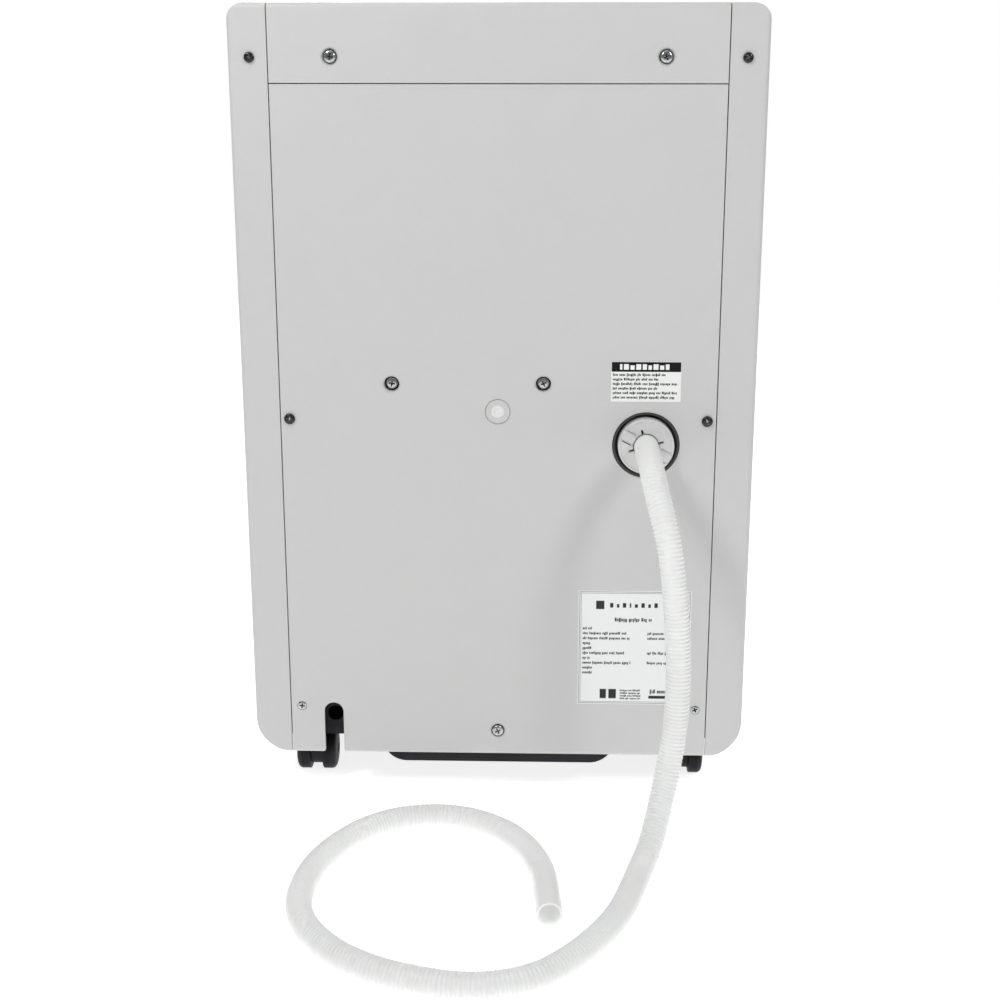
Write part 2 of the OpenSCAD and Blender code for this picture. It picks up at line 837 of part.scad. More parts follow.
module drip_tray() {
    color("#5e6367")
        difference() {
            union() {
                box(-150, 150, -122, -42, deck_z + deck_t, deck_z + 18);
                rod_z(0, -77, deck_z - 6, deck_z + 4, 7);
                rod_z(-port_x, -52, port_z + 6, deck_z + 4, 7);
            }
            box(-148, 148, -120, -44, deck_z + deck_t + 2, deck_z + 20);
            rod_z(0, -77, deck_z - 7, deck_z + 5, 5);
            rod_z(-port_x, -52, port_z + 5, deck_z + 5, 5);
        }
}

// ---- Refrigeration circuit ----

module compressor() {
    color("#1a1b1d") {
        translate([comp_x, comp_y, 0]) rotate_extrude()
            union() {
                translate([0, comp_low_z + 12]) square([comp_r, comp_high_z - comp_low_z - 40]);
                intersection() {
                    translate([0, comp_high_z - 28]) circle(comp_r);
                    translate([0, comp_high_z - 28]) square([comp_r, 22]);
                }
                translate([0, comp_low_z]) square([comp_r - 8, 14]);
            }
        rod_z(comp_x, comp_y, comp_high_z - 8, comp_high_z + 12, 5);
        translate([comp_x, comp_y, comp_low_z]) linear_extrude(3)
            for (a = comp_foot_angles)
                rotate(a) difference() {
                    union() {
                        translate([0, -12]) square([comp_foot_r, 24]);
                        translate([comp_foot_r, 0]) circle(12);
                    }
                    translate([comp_foot_r, 0]) circle(6);
                }
        rod_x(comp_x - comp_r - 6, comp_x - comp_r + 4, comp_y, 130, 6);
    }
}

module compressor_feet() {
    color("#2c2c2c")
        for (a = comp_foot_angles)
            translate([comp_x + comp_foot_r * cos(a), comp_y + comp_foot_r * sin(a), belly_z + 3]) {
                cylinder(h = comp_low_z - belly_z - 3, r = 9);
                cylinder(h = comp_low_z - belly_z + 4, r = 5.9);
            }
}

module accumulator() {
    color("#1a1b1d")
        translate([tank_x, tank_y, 0]) {
            rod_z(0, 0, 100, 200, 15);
            rod_z(0, 0, 198, 226, 5);
            rod_z(0, 0, 84, 102, 5);
        }
    color("#1a1b1d")
        box(tank_x + 8, comp_x - comp_r + 0.5, tank_y - 8, tank_y - 4, 146, 162);
}

coil_x = 138;
coil_high_z = 570;

// A fin block with its rows of tubes and their end bends
module coil_block(y0, y1, rows, z0) {
    pitch_z = 25;
    ym = (y0 + y1) / 2;
    box(-coil_x, coil_x, y0, y1, z0, coil_high_z);
    for (k = [0 : rows - 1])
        for (s = [-1, 1])
            translate([s * coil_x, ym, z0 + 24 + k * pitch_z + (s < 0 ? 0 : pitch_z / 2)])
                rotate([90, 0, s > 0 ? 0 : 180]) rotate([0, 0, -90])
                    rotate_extrude(angle = 180) translate([pitch_z / 4, 0]) circle(4);
}

module evaporator() {
    color("#c3c7c9") {
        coil_block(-118, -96, 9, deck_z + 5);
        rod_x(-152, -137, -107, 556, 5);
        rod_x(137, 150, -107, 556, 3);
    }
}

module condenser() {
    color("#b8a58a") {
        coil_block(-86, -54, 9, deck_z + 5);
        rod_x(137, 152, -70, 556, 4);
        rod_x(137, 150, -70, 330, 3);
    }
}

module discharge_pipe() {
    color("#b87333")
        swept_tube(curve([[comp_x, comp_y, comp_high_z + 12], [comp_x, comp_y, 262],
                          [comp_x + 12, comp_y, 272],
                          [100, 60, 274], [146, 52, 275], [157, 50, 284], [158, 50, 310], [158, 50, 420],
                          [158, 46, 536], [158, 30, 554], [159, -10, 556], [160, -58, 556],
                          [158, -68, 556], [152, -70, 556]], 2), 4, 8);
}

module suction_pipe() {
    color("#b87333")
        swept_tube(curve([[-152, -107, 556], [-153.5, -107, 556], [-155, -107, 556],
                          [-161, -103, 556], [-163, -92, 556], [-162, -30, 556],
                          [-160, 8, 554], [-158, 19, 540], [-158, 20, 420],
                          [-158, 20, 300], [-156, 24, 274], [-140, 40, 266], [tank_x - 30, tank_y - 6, 262],
                          [tank_x - 6, tank_y, 256], [tank_x, tank_y, 242], [tank_x, tank_y, 226]], 2), 5, 8);
}

module capillary_tube() {
    turns = 3;
    coil = [for (a = [0 : 45 : 360 * turns])
        [158 - 6 * cos(a), -88 + 6 * sin(a), 350 + a / 12]];
    color("#c77b3c")
        swept_tube(curve(concat([[150, -70, 330], [155, -71, 332], [157, -78, 340]], coil,
                                [[158, -95, 470], [157, -104, 540], [154, -107, 555], [150, -107, 556]]), 1),
                   1.5, 6);
}

// ---- Fan ----

module scroll_outline() {
    translate([0, fan_z]) circle(fan_r);
    polygon([[0, fan_z], [fan_r, fan_z], [fan_r, 603], [-outlet_x, 603], [-70, 534]]);
}

module scroll_inside() {
    translate([0, fan_z]) circle(fan_r - 2.5);
    polygon([[0, fan_z], [fan_r - 2.5, fan_z], [fan_r - 2.5, 604], [-outlet_x + 3, 604], [-68, 532]]);
}

module fan_housing() {
    color("#d9d9d4")
        difference() {
            union() {
                along_y(fan_y0, fan_y1) scroll_outline();
                for (s = [-1, 1])
                    box(s * 90 - 6, s * 90 + 6, fan_y0 + 4, fan_y1 - 4, deck_z + deck_t, fan_z - 70);
            }
            along_y(fan_y0 + 2.5, fan_y1 - 2.5) scroll_inside();
            rod_y(0, fan_y0 - 1, fan_y0 + 4, fan_z, fan_inlet_r);
            rod_y(0, fan_y1 - 4, fan_y1 + 1, fan_z, 14);
        }
}

module fan_motor() {
    color("#6d7276")
        difference() {
            union() {
                rod_y(0, fan_y1, fan_y1 + 52, fan_z, 40);
                rod_y(0, fan_y1 + 52 - eps, fan_y1 + 60, fan_z, 16);
                for (a = [45 : 90 : 315])
                    translate([40 * cos(a), 0, 40 * sin(a)]) rod_y(0, fan_y1, fan_y1 + 5, fan_z, 8);
            }
            rod_y(0, fan_y1 - 1, fan_y1 + 40, fan_z, 4.05);
        }
}

module blower_wheel() {
    blades = 32;
    color("#e4e4e0") {
        rod_y(0, fan_y1 - 12, fan_y1 - 9, fan_z, blower_r);
        rod_y(0, fan_y1 - 40, fan_y1 - 9, fan_z, 14);
        rod_y(0, fan_y1 - 44, fan_y1 + 38, fan_z, 4);
        difference() {
            rod_y(0, fan_y0 + 10, fan_y0 + 14, fan_z, blower_r);
            rod_y(0, fan_y0 + 9, fan_y0 + 15, fan_z, blower_r - 14);
        }
        for (k = [0 : blades - 1])
            translate([0, 0, fan_z]) rotate([0, k * 360 / blades, 0])
                box(blower_r - 13, blower_r - 1, fan_y0 + 13, fan_y1 - 11, -1, 1);
    }
}

// ---- Electrics ----

module control_box() {
    color("#8d9296")
        difference() {
            box(control_x, control_x + 108, 58, 100, 372, 520);
            box(control_x + 2.5, control_x + 105.5, 60.5, 101, 374.5, 517.5);
        }
    color("#8d9296")
        for (x = [control_x + 6, control_x + 90])
            box(x, x + 12, 58, 70, deck_z + deck_t, 372 + eps);
}

module control_board() {
    face_y = 65.6;
    color("#1f6b3a")
        translate([control_x, 0, 0]) {
            box(6, 102, face_y - 1.6, face_y, 380, 512);
            for (z = [388, 504], x = [12, 96])
                rod_y(x, 60.5, face_y, z, 3);
            box(12, 42, face_y - eps, 88, 470, 500);
            box(52, 72, face_y - eps, 82, 476, 496);
            for (x = [22, 44, 66])
                rod_y(x, face_y - eps, 84, 450, 8);
            box(14, 88, face_y - eps, 76, 386, 398);
        }
}

module run_capacitor() {
    color("#d4d7d8") {
        rod_z(-40, 100, deck_z + deck_t, 370, 15);
        for (s = [-1, 1])
            box(-40 + s * 6 - 3, -40 + s * 6 + 3, 99.6, 100.4, 370 - eps, 378);
    }
}

// ---- Drain outlet ----

neck_y = rear_y + 0.5;

module drain_port() {
    color("#3a3c3e")
        difference() {
            rod_y(-port_x, rear_y - 12, rear_y - 0.2, port_z, port_r);
            rod_y(-port_x, rear_y - 9.5, rear_y + 1, port_z, port_r - 2.2);
            rod_y(-port_x, rear_y - 13, rear_y + 1, port_z, 19.2);
        }
}

module drain_spigot() {
    color("#8f9497")
        difference() {
            union() {
                rod_y(-port_x, -62, rear_y - 14, port_z, 8);
                rod_y(-port_x, rear_y - 14 - eps, neck_y, port_z, 18.95);
                rod_y(-port_x, rear_y - 16, rear_y - 12, port_z, 24);
            }
            rod_y(-port_x, -60, rear_y + 1, port_z, 6);
            rod_z(-port_x, -52, port_z, port_z + 9, 5);
            rod_z(-port_x, -52, port_z + 6, port_z + 9, 7);
        }
}

module cap_seal() {
    color("#2b2b2b")
        difference() {
            rod_y(-port_x, neck_y, neck_y + 1.8, port_z, 18);
            rod_y(-port_x, neck_y - 1, neck_y + 3, port_z, hose_r + 0.8);
        }
}

// Lock cap with a grip bar across it, the hose running out through its middle
module drain_cap() {
    face_y = rear_y + cap_proud - 2.5;
    bar_turn = 28;
    color("#cdd0d0")
        difference() {
            union() {
                rod_y(-port_x, rear_y - 8, face_y, port_z, cap_r);
                translate([-port_x, 0, port_z]) rotate([0, -bar_turn, 0])
                    intersection() {
                        box(-cap_r, cap_r, face_y - 1, rear_y + cap_proud, -3.2, 3.2);
                        rod_y(0, 0, far, 0, cap_r - 0.4);
                    }
            }
            rod_y(-port_x, rear_y - 9, neck_y + 2, port_z, 19);
            rod_y(-port_x, rear_y - 9, far, port_z, hose_r + 0.5);
            translate([-port_x, 0, port_z])
                for (a = [74, 164, 254, 344])
                    rotate([0, -a, 0]) box(hose_r, hose_r + 3.6, face_y - 0.8, far, -0.8, 0.8);
        }
}

module drain_hose() {
    path = [for (p = curve(hose_route, hose_steps)) [p.x, p.y, max(p.z, hose_r)]];
    color("#eef0f0")
        swept_tube(path, hose_r, 10);
}

// ---- Labels and screws ----

module instruction_label() {
    color("#f3f3f0")
        along_y(rear_y, rear_y + 0.25)
            translate([-139, 325]) square([53, 31]);
}

module rating_label() {
    color("#e4e5e2")
        along_y(rear_y, rear_y + 0.25)
            rounded_even(-152.5, 77, -63.7, 173, 1.5);
}

// Cross-recessed pan head screw, its seat at y, pointing into the cabinet
module pan_screw(place, y, head_r, head_h, shank_l) {
    difference() {
        union() {
            rod_y(place[0], y, y + head_h * 0.5, place[1], head_r);
            rod_y(place[0], y + head_h * 0.5 - eps, y + head_h, place[1], head_r - 0.7);
            rod_y(place[0], y - shank_l, y + eps, place[1], 2);
        }
        for (a = [20, 110])
            translate([place[0], 0, place[1]]) rotate([0, a, 0])
                box(-head_r * 0.6, head_r * 0.6, y + head_h * 0.45, y + head_h + 1, -0.5, 0.5);
    }
}

module panel_screws() {
    color("#b5b8ba") {
        for (p = skirt_screw_at)
            pan_screw(p, rear_y - 1.4, 4.6, 2.6, 9);
        for (p = pocket_screw_at)
            pan_screw(p, rear_y - 5.5, 4.6, 2.6, 9);
        for (p = low_screw_at)
            pan_screw(p, rear_y - 0.8, 4.6, 2.6, 9);
    }
}

module strip_screws() {
    color("#3b3d3f")
        for (p = strip_screw_at)
            pan_screw(p, rear_y, 3.8, 2.2, 9);
}

module edge_screws() {
    color("#1b1b1c")
        for (p = edge_screw_at)
            pan_screw(p, rear_y, 4.2, 2.2, 9);
}

module lower_screws() {
    color("#c4c7c8")
        for (p = lower_screw_at)
            pan_screw(p, rear_y - 1.6, lower_seat_r - 0.3, 1.9, 7);
}

rear_panel();
left_side_panel();
right_side_panel();
top_cover();
front_cover();
intake_grille();
air_filter();
outlet_grille();
base_pan();
chassis();
control_panel();
display_window();
display_board();
power_button();
mode_button();
fan_button();
timer_button();
down_button();
up_button();
bucket_tub();
bucket_front();
bucket_window();
bucket_lid();
bucket_handle();
float_lever();
bucket_switch();
front_left_caster();
front_left_wheels();
front_right_caster();
front_right_wheels();
rear_left_caster();
rear_left_wheels();
rear_right_caster();
rear_right_wheels();
compressor();
compressor_feet();
accumulator();
evaporator();
condenser();
discharge_pipe();
suction_pipe();
capillary_tube();
fan_housing();
fan_motor();
blower_wheel();
drip_tray();
control_box();
control_board();
run_capacitor();
drain_port();
drain_spigot();
cap_seal();
drain_cap();
drain_hose();
instruction_label();
rating_label();
panel_screws();
strip_screws();
edge_screws();
lower_screws();
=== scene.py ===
import bpy, bmesh, json, math, random
from mathutils import Vector, Matrix


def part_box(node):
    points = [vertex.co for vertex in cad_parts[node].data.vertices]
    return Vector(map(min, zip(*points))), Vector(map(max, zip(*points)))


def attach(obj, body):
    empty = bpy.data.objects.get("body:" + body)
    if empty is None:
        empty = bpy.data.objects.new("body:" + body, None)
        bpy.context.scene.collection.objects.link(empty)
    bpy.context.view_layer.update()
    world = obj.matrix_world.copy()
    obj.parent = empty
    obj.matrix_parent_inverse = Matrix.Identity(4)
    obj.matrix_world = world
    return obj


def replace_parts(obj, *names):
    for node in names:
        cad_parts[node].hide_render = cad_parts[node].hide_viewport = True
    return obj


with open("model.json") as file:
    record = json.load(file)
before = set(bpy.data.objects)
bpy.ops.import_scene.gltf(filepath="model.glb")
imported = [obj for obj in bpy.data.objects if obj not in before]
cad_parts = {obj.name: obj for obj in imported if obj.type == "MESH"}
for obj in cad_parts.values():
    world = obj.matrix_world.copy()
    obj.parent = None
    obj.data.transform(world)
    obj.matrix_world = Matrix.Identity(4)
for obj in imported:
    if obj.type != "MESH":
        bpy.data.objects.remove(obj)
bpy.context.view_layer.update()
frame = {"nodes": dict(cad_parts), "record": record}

record, nodes = frame["record"], frame["nodes"]
scene = bpy.context.scene
MM = 0.001
SHARP = math.radians(38)  # edges steeper than this stay crisp

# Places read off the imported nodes, in metres
rear_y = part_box("rear_panel")[1].y
port_lo, port_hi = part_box("drain_port")
port = Vector(((port_lo.x + port_hi.x) / 2, 0, (port_lo.z + port_hi.z) / 2))

# ---- Camera ----

camera = bpy.data.objects.new("camera", bpy.data.cameras.new("camera"))
scene.collection.objects.link(camera)
camera.data.sensor_width = 36
camera.data.lens = 59.4
camera.location = (-0.0369, 1.367, 0.598)
camera.rotation_euler = Vector((0.0275, -0.961, -0.2747)).to_track_quat("-Z", "Y").to_euler()
camera.data.clip_start = 0.01
camera.data.clip_end = 100
scene.camera = camera


# ---- Materials ----

def tree(name):
    m = bpy.data.materials.new(name)
    m.use_nodes = True
    nt = m.node_tree
    return m, nt, nt.nodes["Principled BSDF"]


def add(nt, kind, **settings):
    n = nt.nodes.new(kind)
    for k, v in settings.items():
        setattr(n, k, v)
    return n


def noise(nt, place, scale, detail=3.0, rough=0.55, stretch=None):
    if stretch:
        m = add(nt, "ShaderNodeMapping")
        m.inputs["Scale"].default_value = stretch
        nt.links.new(place, m.inputs["Vector"])
        place = m.outputs["Vector"]
    n = add(nt, "ShaderNodeTexNoise")
    n.inputs["Scale"].default_value = scale
    n.inputs["Detail"].default_value = detail
    n.inputs["Roughness"].default_value = rough
    nt.links.new(place, n.inputs["Vector"])
    return n.outputs["Fac"]


def spread(nt, value, low, high, a=0.3, b=0.7):
    n = add(nt, "ShaderNodeMapRange")
    n.inputs["From Min"].default_value = a
    n.inputs["From Max"].default_value = b
    n.inputs["To Min"].default_value = low
    n.inputs["To Max"].default_value = high
    nt.links.new(value, n.inputs["Value"])
    return n.outputs["Result"]


def mixed(nt, factor, a, b):
    n = add(nt, "ShaderNodeMix", data_type="RGBA")
    nt.links.new(factor, n.inputs[0])
    for socket, c in ((n.inputs[6], a), (n.inputs[7], b)):
        if isinstance(c, tuple):
            socket.default_value = (*c, 1)
        else:
            nt.links.new(c, socket)
    return n.outputs[2]


def shade(c, f):
    return tuple(min(1.0, x * f) for x in c)


def surface(name, color, rough=0.5, vary=0.04, cloud=9, grain=0.12, grain_scale=1100, metal=0.0,
            stretch=None, edge=0.0, edge_r=0.0006, dust=0.0, **sockets):
    """A moulded or metal surface: broad colour drift, fine grain in bump and gloss, edges rounded in the shading normal
    and lightened as a painted highlight.
    """
    m, nt, bsdf = tree(name)
    at = add(nt, "ShaderNodeTexCoord").outputs["Object"]
    broad = noise(nt, at, cloud, 4)
    fine = noise(nt, at, grain_scale, 2, stretch=stretch)
    colour = mixed(nt, spread(nt, broad, 0, 1), shade(color, 1 - vary), shade(color, 1 + vary))
    colour = mixed(nt, spread(nt, fine, 0, 1), colour, shade(color, 1 + vary * 1.5))
    if dust:
        haze = noise(nt, at, 55, 6, 0.7)
        colour = mixed(nt, spread(nt, haze, 0, dust, 0.45, 0.8), colour, shade(color, 0.86))
    bump = add(nt, "ShaderNodeBump")
    bump.inputs["Strength"].default_value = grain
    bump.inputs["Distance"].default_value = 0.0002
    nt.links.new(fine, bump.inputs["Height"])
    # Painted highlight: near edges, where the bevel normal turns away from the face's own normal, the colour is
    # lightened up to 1.35 times; the bevel normal also rounds the shading.
    if edge:
        bevel = add(nt, "ShaderNodeBevel", samples=3)
        bevel.inputs["Radius"].default_value = edge_r
        nt.links.new(bevel.outputs["Normal"], bump.inputs["Normal"])
        geo = add(nt, "ShaderNodeNewGeometry")
        dot = add(nt, "ShaderNodeVectorMath", operation="DOT_PRODUCT")
        nt.links.new(bevel.outputs["Normal"], dot.inputs[0])
        nt.links.new(geo.outputs["Normal"], dot.inputs[1])
        colour = mixed(nt, spread(nt, dot.outputs["Value"], edge, 0, 0.8, 1.0), colour, shade(color, 1.35))
    nt.links.new(colour, bsdf.inputs["Base Color"])
    nt.links.new(bump.outputs["Normal"], bsdf.inputs["Normal"])
    gloss = spread(nt, noise(nt, at, cloud * 6, 5), rough * 0.85, min(1, rough * 1.15))
    nt.links.new(gloss, bsdf.inputs["Roughness"])
    bsdf.inputs["Metallic"].default_value = metal
    for k, v in sockets.items():
        bsdf.inputs[k.replace("_", " ")].default_value = v
    return m


SHELL = (0.545, 0.55, 0.544)
# edge sets how strongly each material's edges take the painted highlight, edge_r how far it reaches
mats = {
    "shell_plastic": surface("shell_plastic", SHELL, 0.46, 0.018, 5, 0.10, 1500, edge=0.25, dust=0.1),
    "trim_plastic": surface("trim_plastic", (0.52, 0.53, 0.52), 0.5, 0.02, 8, 0.12, 1300, edge=0.25),
    "black_plastic": surface("black_plastic", (0.012, 0.012, 0.015), 0.6, 0.25, 20, 0.35, 900, edge=0.5,
                             Specular_IOR_Level=0.22),
    "caster_plastic": surface("caster_plastic", (0.009, 0.008, 0.011), 0.5, 0.3, 40, 0.3, 1200, edge=0.5,
                              Specular_IOR_Level=0.22),
    "console_plastic": surface("console_plastic", (0.028, 0.03, 0.034), 0.22, 0.15, 14, 0.04, 1500, edge=0.4,
                               Coat_Weight=0.5, Coat_Roughness=0.08),
    "window_plastic": surface("window_plastic", (0.008, 0.010, 0.013), 0.07, 0.3, 12, 0.015, 400, Coat_Weight=1.0,
                              Coat_Roughness=0.03),
    "button_plastic": surface("button_plastic", (0.66, 0.68, 0.68), 0.38, 0.02, 30, 0.08, 1600, edge=0.3),
    "circuit_board": surface("circuit_board", (0.012, 0.085, 0.03), 0.32, 0.35, 260, 0.2, 500, edge=0.3),
    "filter_mesh": surface("filter_mesh", (0.028, 0.03, 0.033), 0.7, 0.3, 90, 0.6, 1400, edge=0.4),
    "bucket_plastic": surface("bucket_plastic", (0.03, 0.033, 0.038), 0.2, 0.12, 8, 0.05, 900, edge=0.5,
                              Transmission_Weight=0.18),
    "lid_plastic": surface("lid_plastic", (0.085, 0.094, 0.104), 0.42, 0.06, 12, 0.14, 1300, edge=0.4),
    "float_foam": surface("float_foam", (0.70, 0.64, 0.47), 0.95, 0.08, 160, 0.9, 900),
    "zinc_steel": surface("zinc_steel", (0.50, 0.52, 0.53), 0.38, 0.14, 45, 0.1, 500, 0.9, edge=0.4),
    "black_enamel": surface("black_enamel", (0.010, 0.010, 0.011), 0.24, 0.2, 10, 0.12, 260, edge=0.5, Coat_Weight=0.6),
    "rubber": surface("rubber", (0.018, 0.018, 0.018), 0.85, 0.25, 60, 0.5, 1000),
    "copper_pipe": surface("copper_pipe", (0.62, 0.26, 0.12), 0.3, 0.22, 30, 0.12, 700, 1.0, (1, 1, 6)),
    "motor_paint": surface("motor_paint", (0.055, 0.06, 0.067), 0.36, 0.1, 14, 0.25, 420, 0.2, edge=0.5),
    "fan_plastic": surface("fan_plastic", (0.60, 0.61, 0.56), 0.55, 0.04, 14, 0.12, 900, edge=0.3),
    "tray_plastic": surface("tray_plastic", (0.045, 0.05, 0.055), 0.5, 0.1, 12, 0.15, 1100, edge=0.5),
    "can_aluminium": surface("can_aluminium", (0.70, 0.71, 0.72), 0.3, 0.08, 25, 0.15, 300, 1.0, (1, 1, 9)),
    "port_plastic": surface("port_plastic", (0.034, 0.031, 0.031), 0.42, 0.2, 40, 0.2, 1300),
    "spigot_plastic": surface("spigot_plastic", (0.16, 0.175, 0.18), 0.45, 0.06, 30, 0.1, 1200, edge=0.4),
    "cap_plastic": surface("cap_plastic", (0.59, 0.594, 0.588), 0.36, 0.02, 45, 0.1, 1400, edge=0.9, edge_r=0.0005),
    "label_vinyl": surface("label_vinyl", (0.80, 0.81, 0.79), 0.32, 0.015, 30, 0.05, 900),
    "rating_vinyl": surface("rating_vinyl", (0.78, 0.80, 0.79), 0.35, 0.004, 30, 0.04, 900),
    "screw_steel": surface("screw_steel", (0.40, 0.41, 0.42), 0.2, 0.16, 500, 0.25, 2600, 1.0, edge=0.5, edge_r=0.0003),
    "screw_dark": surface("screw_dark", (0.035, 0.034, 0.036), 0.25, 0.3, 500, 0.3, 2600, 0.9, edge=1.0, edge_r=0.0003),
}
ink = surface("label_ink", (0.008, 0.008, 0.009), 0.7, 0.3, 200, 0.05, 900, Specular_IOR_Level=0.12)
rating_ink = surface("rating_ink", (0.03, 0.033, 0.033), 0.7, 0.2, 200, 0.05, 900, Specular_IOR_Level=0.12)
moulding = surface("panel_moulding", (0.73, 0.735, 0.73), 0.4, 0.01, 60, 0.05, 1500)
# Painted light: the hose's inside wall is lightened and glows faintly, standing in for light that comes through the
# translucent wall.
glowing_bore = surface("hose_bore_painted_glow", (0.72, 0.73, 0.72), 0.6, 0.03, 60, 0.05, 900,
               Emission_Color=(0.8, 0.8, 0.79, 1), Emission_Strength=0.23)
# Painted shade: the blackish colour inside the cross recesses of the bright screws.
recess = surface("screw_recess_painted_shade", (0.03, 0.03, 0.032), 0.6, 0.3, 500, 0.3, 2600, 0.5, Specular_IOR_Level=0.2)
unlit = surface("display_segments", (0.05, 0.055, 0.06), 0.3, 0.1, 200, 0.02, 900)


def finned(name, color, pitch):
    """Closely set fins: fine upright lines with shaded gaps."""
    m, nt, bsdf = tree(name)
    at = add(nt, "ShaderNodeTexCoord").outputs["Object"]
    wave = add(nt, "ShaderNodeTexWave", wave_type="BANDS", bands_direction="X", wave_profile="SIN")
    wave.inputs["Scale"].default_value = 0.314 / pitch
    nt.links.new(at, wave.inputs["Vector"])
    fin = wave.outputs["Fac"]
    colour = mixed(nt, spread(nt, fin, 0, 1, 0.1, 0.6), shade(color, 0.12), color)
    colour = mixed(nt, spread(nt, noise(nt, at, 40, 5), 0, 0.4), colour, shade(color, 0.6))
    bump = add(nt, "ShaderNodeBump")
    bump.inputs["Strength"].default_value = 0.9
    bump.inputs["Distance"].default_value = 0.0008
    nt.links.new(fin, bump.inputs["Height"])
    nt.links.new(colour, bsdf.inputs["Base Color"])
    nt.links.new(bump.outputs["Normal"], bsdf.inputs["Normal"])
    nt.links.new(spread(nt, fin, 0.6, 0.3), bsdf.inputs["Roughness"])
    bsdf.inputs["Metallic"].default_value = 0.9
    return m


mats["fin_aluminium"] = finned("fin_aluminium", (0.66, 0.68, 0.69), 0.0018)


def hose_material():
    m, nt, bsdf = tree("hose_plastic")
    at = add(nt, "ShaderNodeTexCoord").outputs["Object"]
    broad = noise(nt, at, 14, 4)
    colour = mixed(nt, spread(nt, broad, 0, 1), (0.79, 0.795, 0.79), (0.84, 0.845, 0.84))
    nt.links.new(colour, bsdf.inputs["Base Color"])
    bump = add(nt, "ShaderNodeBump")
    bump.inputs["Strength"].default_value = 0.04
    bump.inputs["Distance"].default_value = 0.0002
    nt.links.new(noise(nt, at, 700, 3), bump.inputs["Height"])
    nt.links.new(bump.outputs["Normal"], bsdf.inputs["Normal"])
    nt.links.new(spread(nt, noise(nt, at, 60, 4), 0.28, 0.42), bsdf.inputs["Roughness"])
    bsdf.inputs["Subsurface Weight"].default_value = 0.35
    bsdf.inputs["Subsurface Radius"].default_value = (0.006, 0.006, 0.005)
    bsdf.inputs["Subsurface Scale"].default_value = 0.4
    return m


mats["hose_plastic"] = hose_material()


# ---- Mesh helpers ----

def piece(name, verts, faces, materials, body, smooth=True, face_mats=None):
    mesh = bpy.data.meshes.new(name)
    mesh.from_pydata([tuple(v) for v in verts], [], faces)
    for m in materials if isinstance(materials, (list, tuple)) else [materials]:
        mesh.materials.append(m)
    if face_mats:
        mesh.polygons.foreach_set("material_index", face_mats)
    b = bmesh.new()
    b.from_mesh(mesh)
    bmesh.ops.recalc_face_normals(b, faces=b.faces)
    b.to_mesh(mesh)
    b.free()
    mesh.update()
    o = bpy.data.objects.new(name, mesh)
    scene.collection.objects.link(o)
    if smooth:
        mesh.shade_smooth()
        mesh.set_sharp_from_angle(angle=SHARP)
    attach(o, body)
    return o


class Shape:
    """Vertices and faces gathered from several closed forms into one mesh."""

    def __init__(self):
        self.verts, self.faces, self.mats = [], [], []

    def take(self, verts, faces, mat=0):
        n = len(self.verts)
        self.verts += [Vector(v) for v in verts]
        self.faces += [tuple(i + n for i in f) for f in faces]
        self.mats += [mat] * len(faces)

    def box(self, lo, hi, mat=0):
        c = [(x, y, z) for z in (lo[2], hi[2]) for y in (lo[1], hi[1]) for x in (lo[0], hi[0])]
        self.take(c, [(0, 2, 3, 1), (4, 5, 7, 6), (0, 1, 5, 4), (2, 6, 7, 3), (0, 4, 6, 2), (1, 3, 7, 5)], mat)

    def block(self, lo, hi, c, mat=0):
        """A box whose four edges along y at the outer face are cut back by c."""
        x0, y0, z0 = lo
        x1, y1, z1 = hi
        back = [(x0, y0, z0), (x1, y0, z0), (x1, y0, z1), (x0, y0, z1)]
        mid = [(x, y1 - c, z) for x, _, z in back]
        top = [(x0 + c, y1, z0 + c), (x1 - c, y1, z0 + c), (x1 - c, y1, z1 - c), (x0 + c, y1, z1 - c)]
        f = [(0, 1, 2, 3), (8, 11, 10, 9)]
        for k in range(4):
            j = (k + 1) % 4
            f += [(k, k + 4, j + 4, j), (k + 4, k + 8, j + 8, j + 4)]
        self.take(back + mid + top, f, mat)

    def lathe(self, loop, place, sides=48, mat=0, axis="y"):
        """A closed loop of (radius, distance along the axis) turned about the axis."""
        n, v, f = len(loop), [], []
        for k in range(sides):
            a = 2 * math.pi * k / sides
            for r, d in loop:
                c, s = r * math.cos(a), r * math.sin(a)
                v.append(Vector(place) + (Vector((c, d, s)) if axis == "y" else Vector((d, c, s)) if axis == "x"
                                          else Vector((c, s, d))))
        for k in range(sides):
            j = (k + 1) % sides
            for i in range(n):
                m = (i + 1) % n
                f.append((k * n + i, k * n + m, j * n + m, j * n + i))
        self.take(v, f, mat)

    def piece(self, name, materials, body, slot, smooth=True):
        return piece(name, self.verts, self.faces, materials, body, smooth, self.mats)


def cut(obj, tool):
    """Takes tool out of obj, applied to the mesh."""
    mod = obj.modifiers.new("cut", "BOOLEAN")
    mod.operation, mod.solver, mod.object = "DIFFERENCE", "EXACT", tool
    dg = bpy.context.evaluated_depsgraph_get()
    mesh = bpy.data.meshes.new_from_object(obj.evaluated_get(dg))
    obj.modifiers.clear()
    obj.data = mesh
    bpy.data.objects.remove(tool)
    mesh.shade_smooth()
    mesh.set_sharp_from_angle(angle=SHARP)
    return obj


def plain(name, shape):
    mesh = bpy.data.meshes.new(name)
    mesh.from_pydata([tuple(v) for v in shape.verts], [], shape.faces)
    b = bmesh.new()
    b.from_mesh(mesh)
    bmesh.ops.recalc_face_normals(b, faces=b.faces)
    b.to_mesh(mesh)
    b.free()
    o = bpy.data.objects.new(name, mesh)
    scene.collection.objects.link(o)
    return o


# ---- The drain hose, the only cord ----

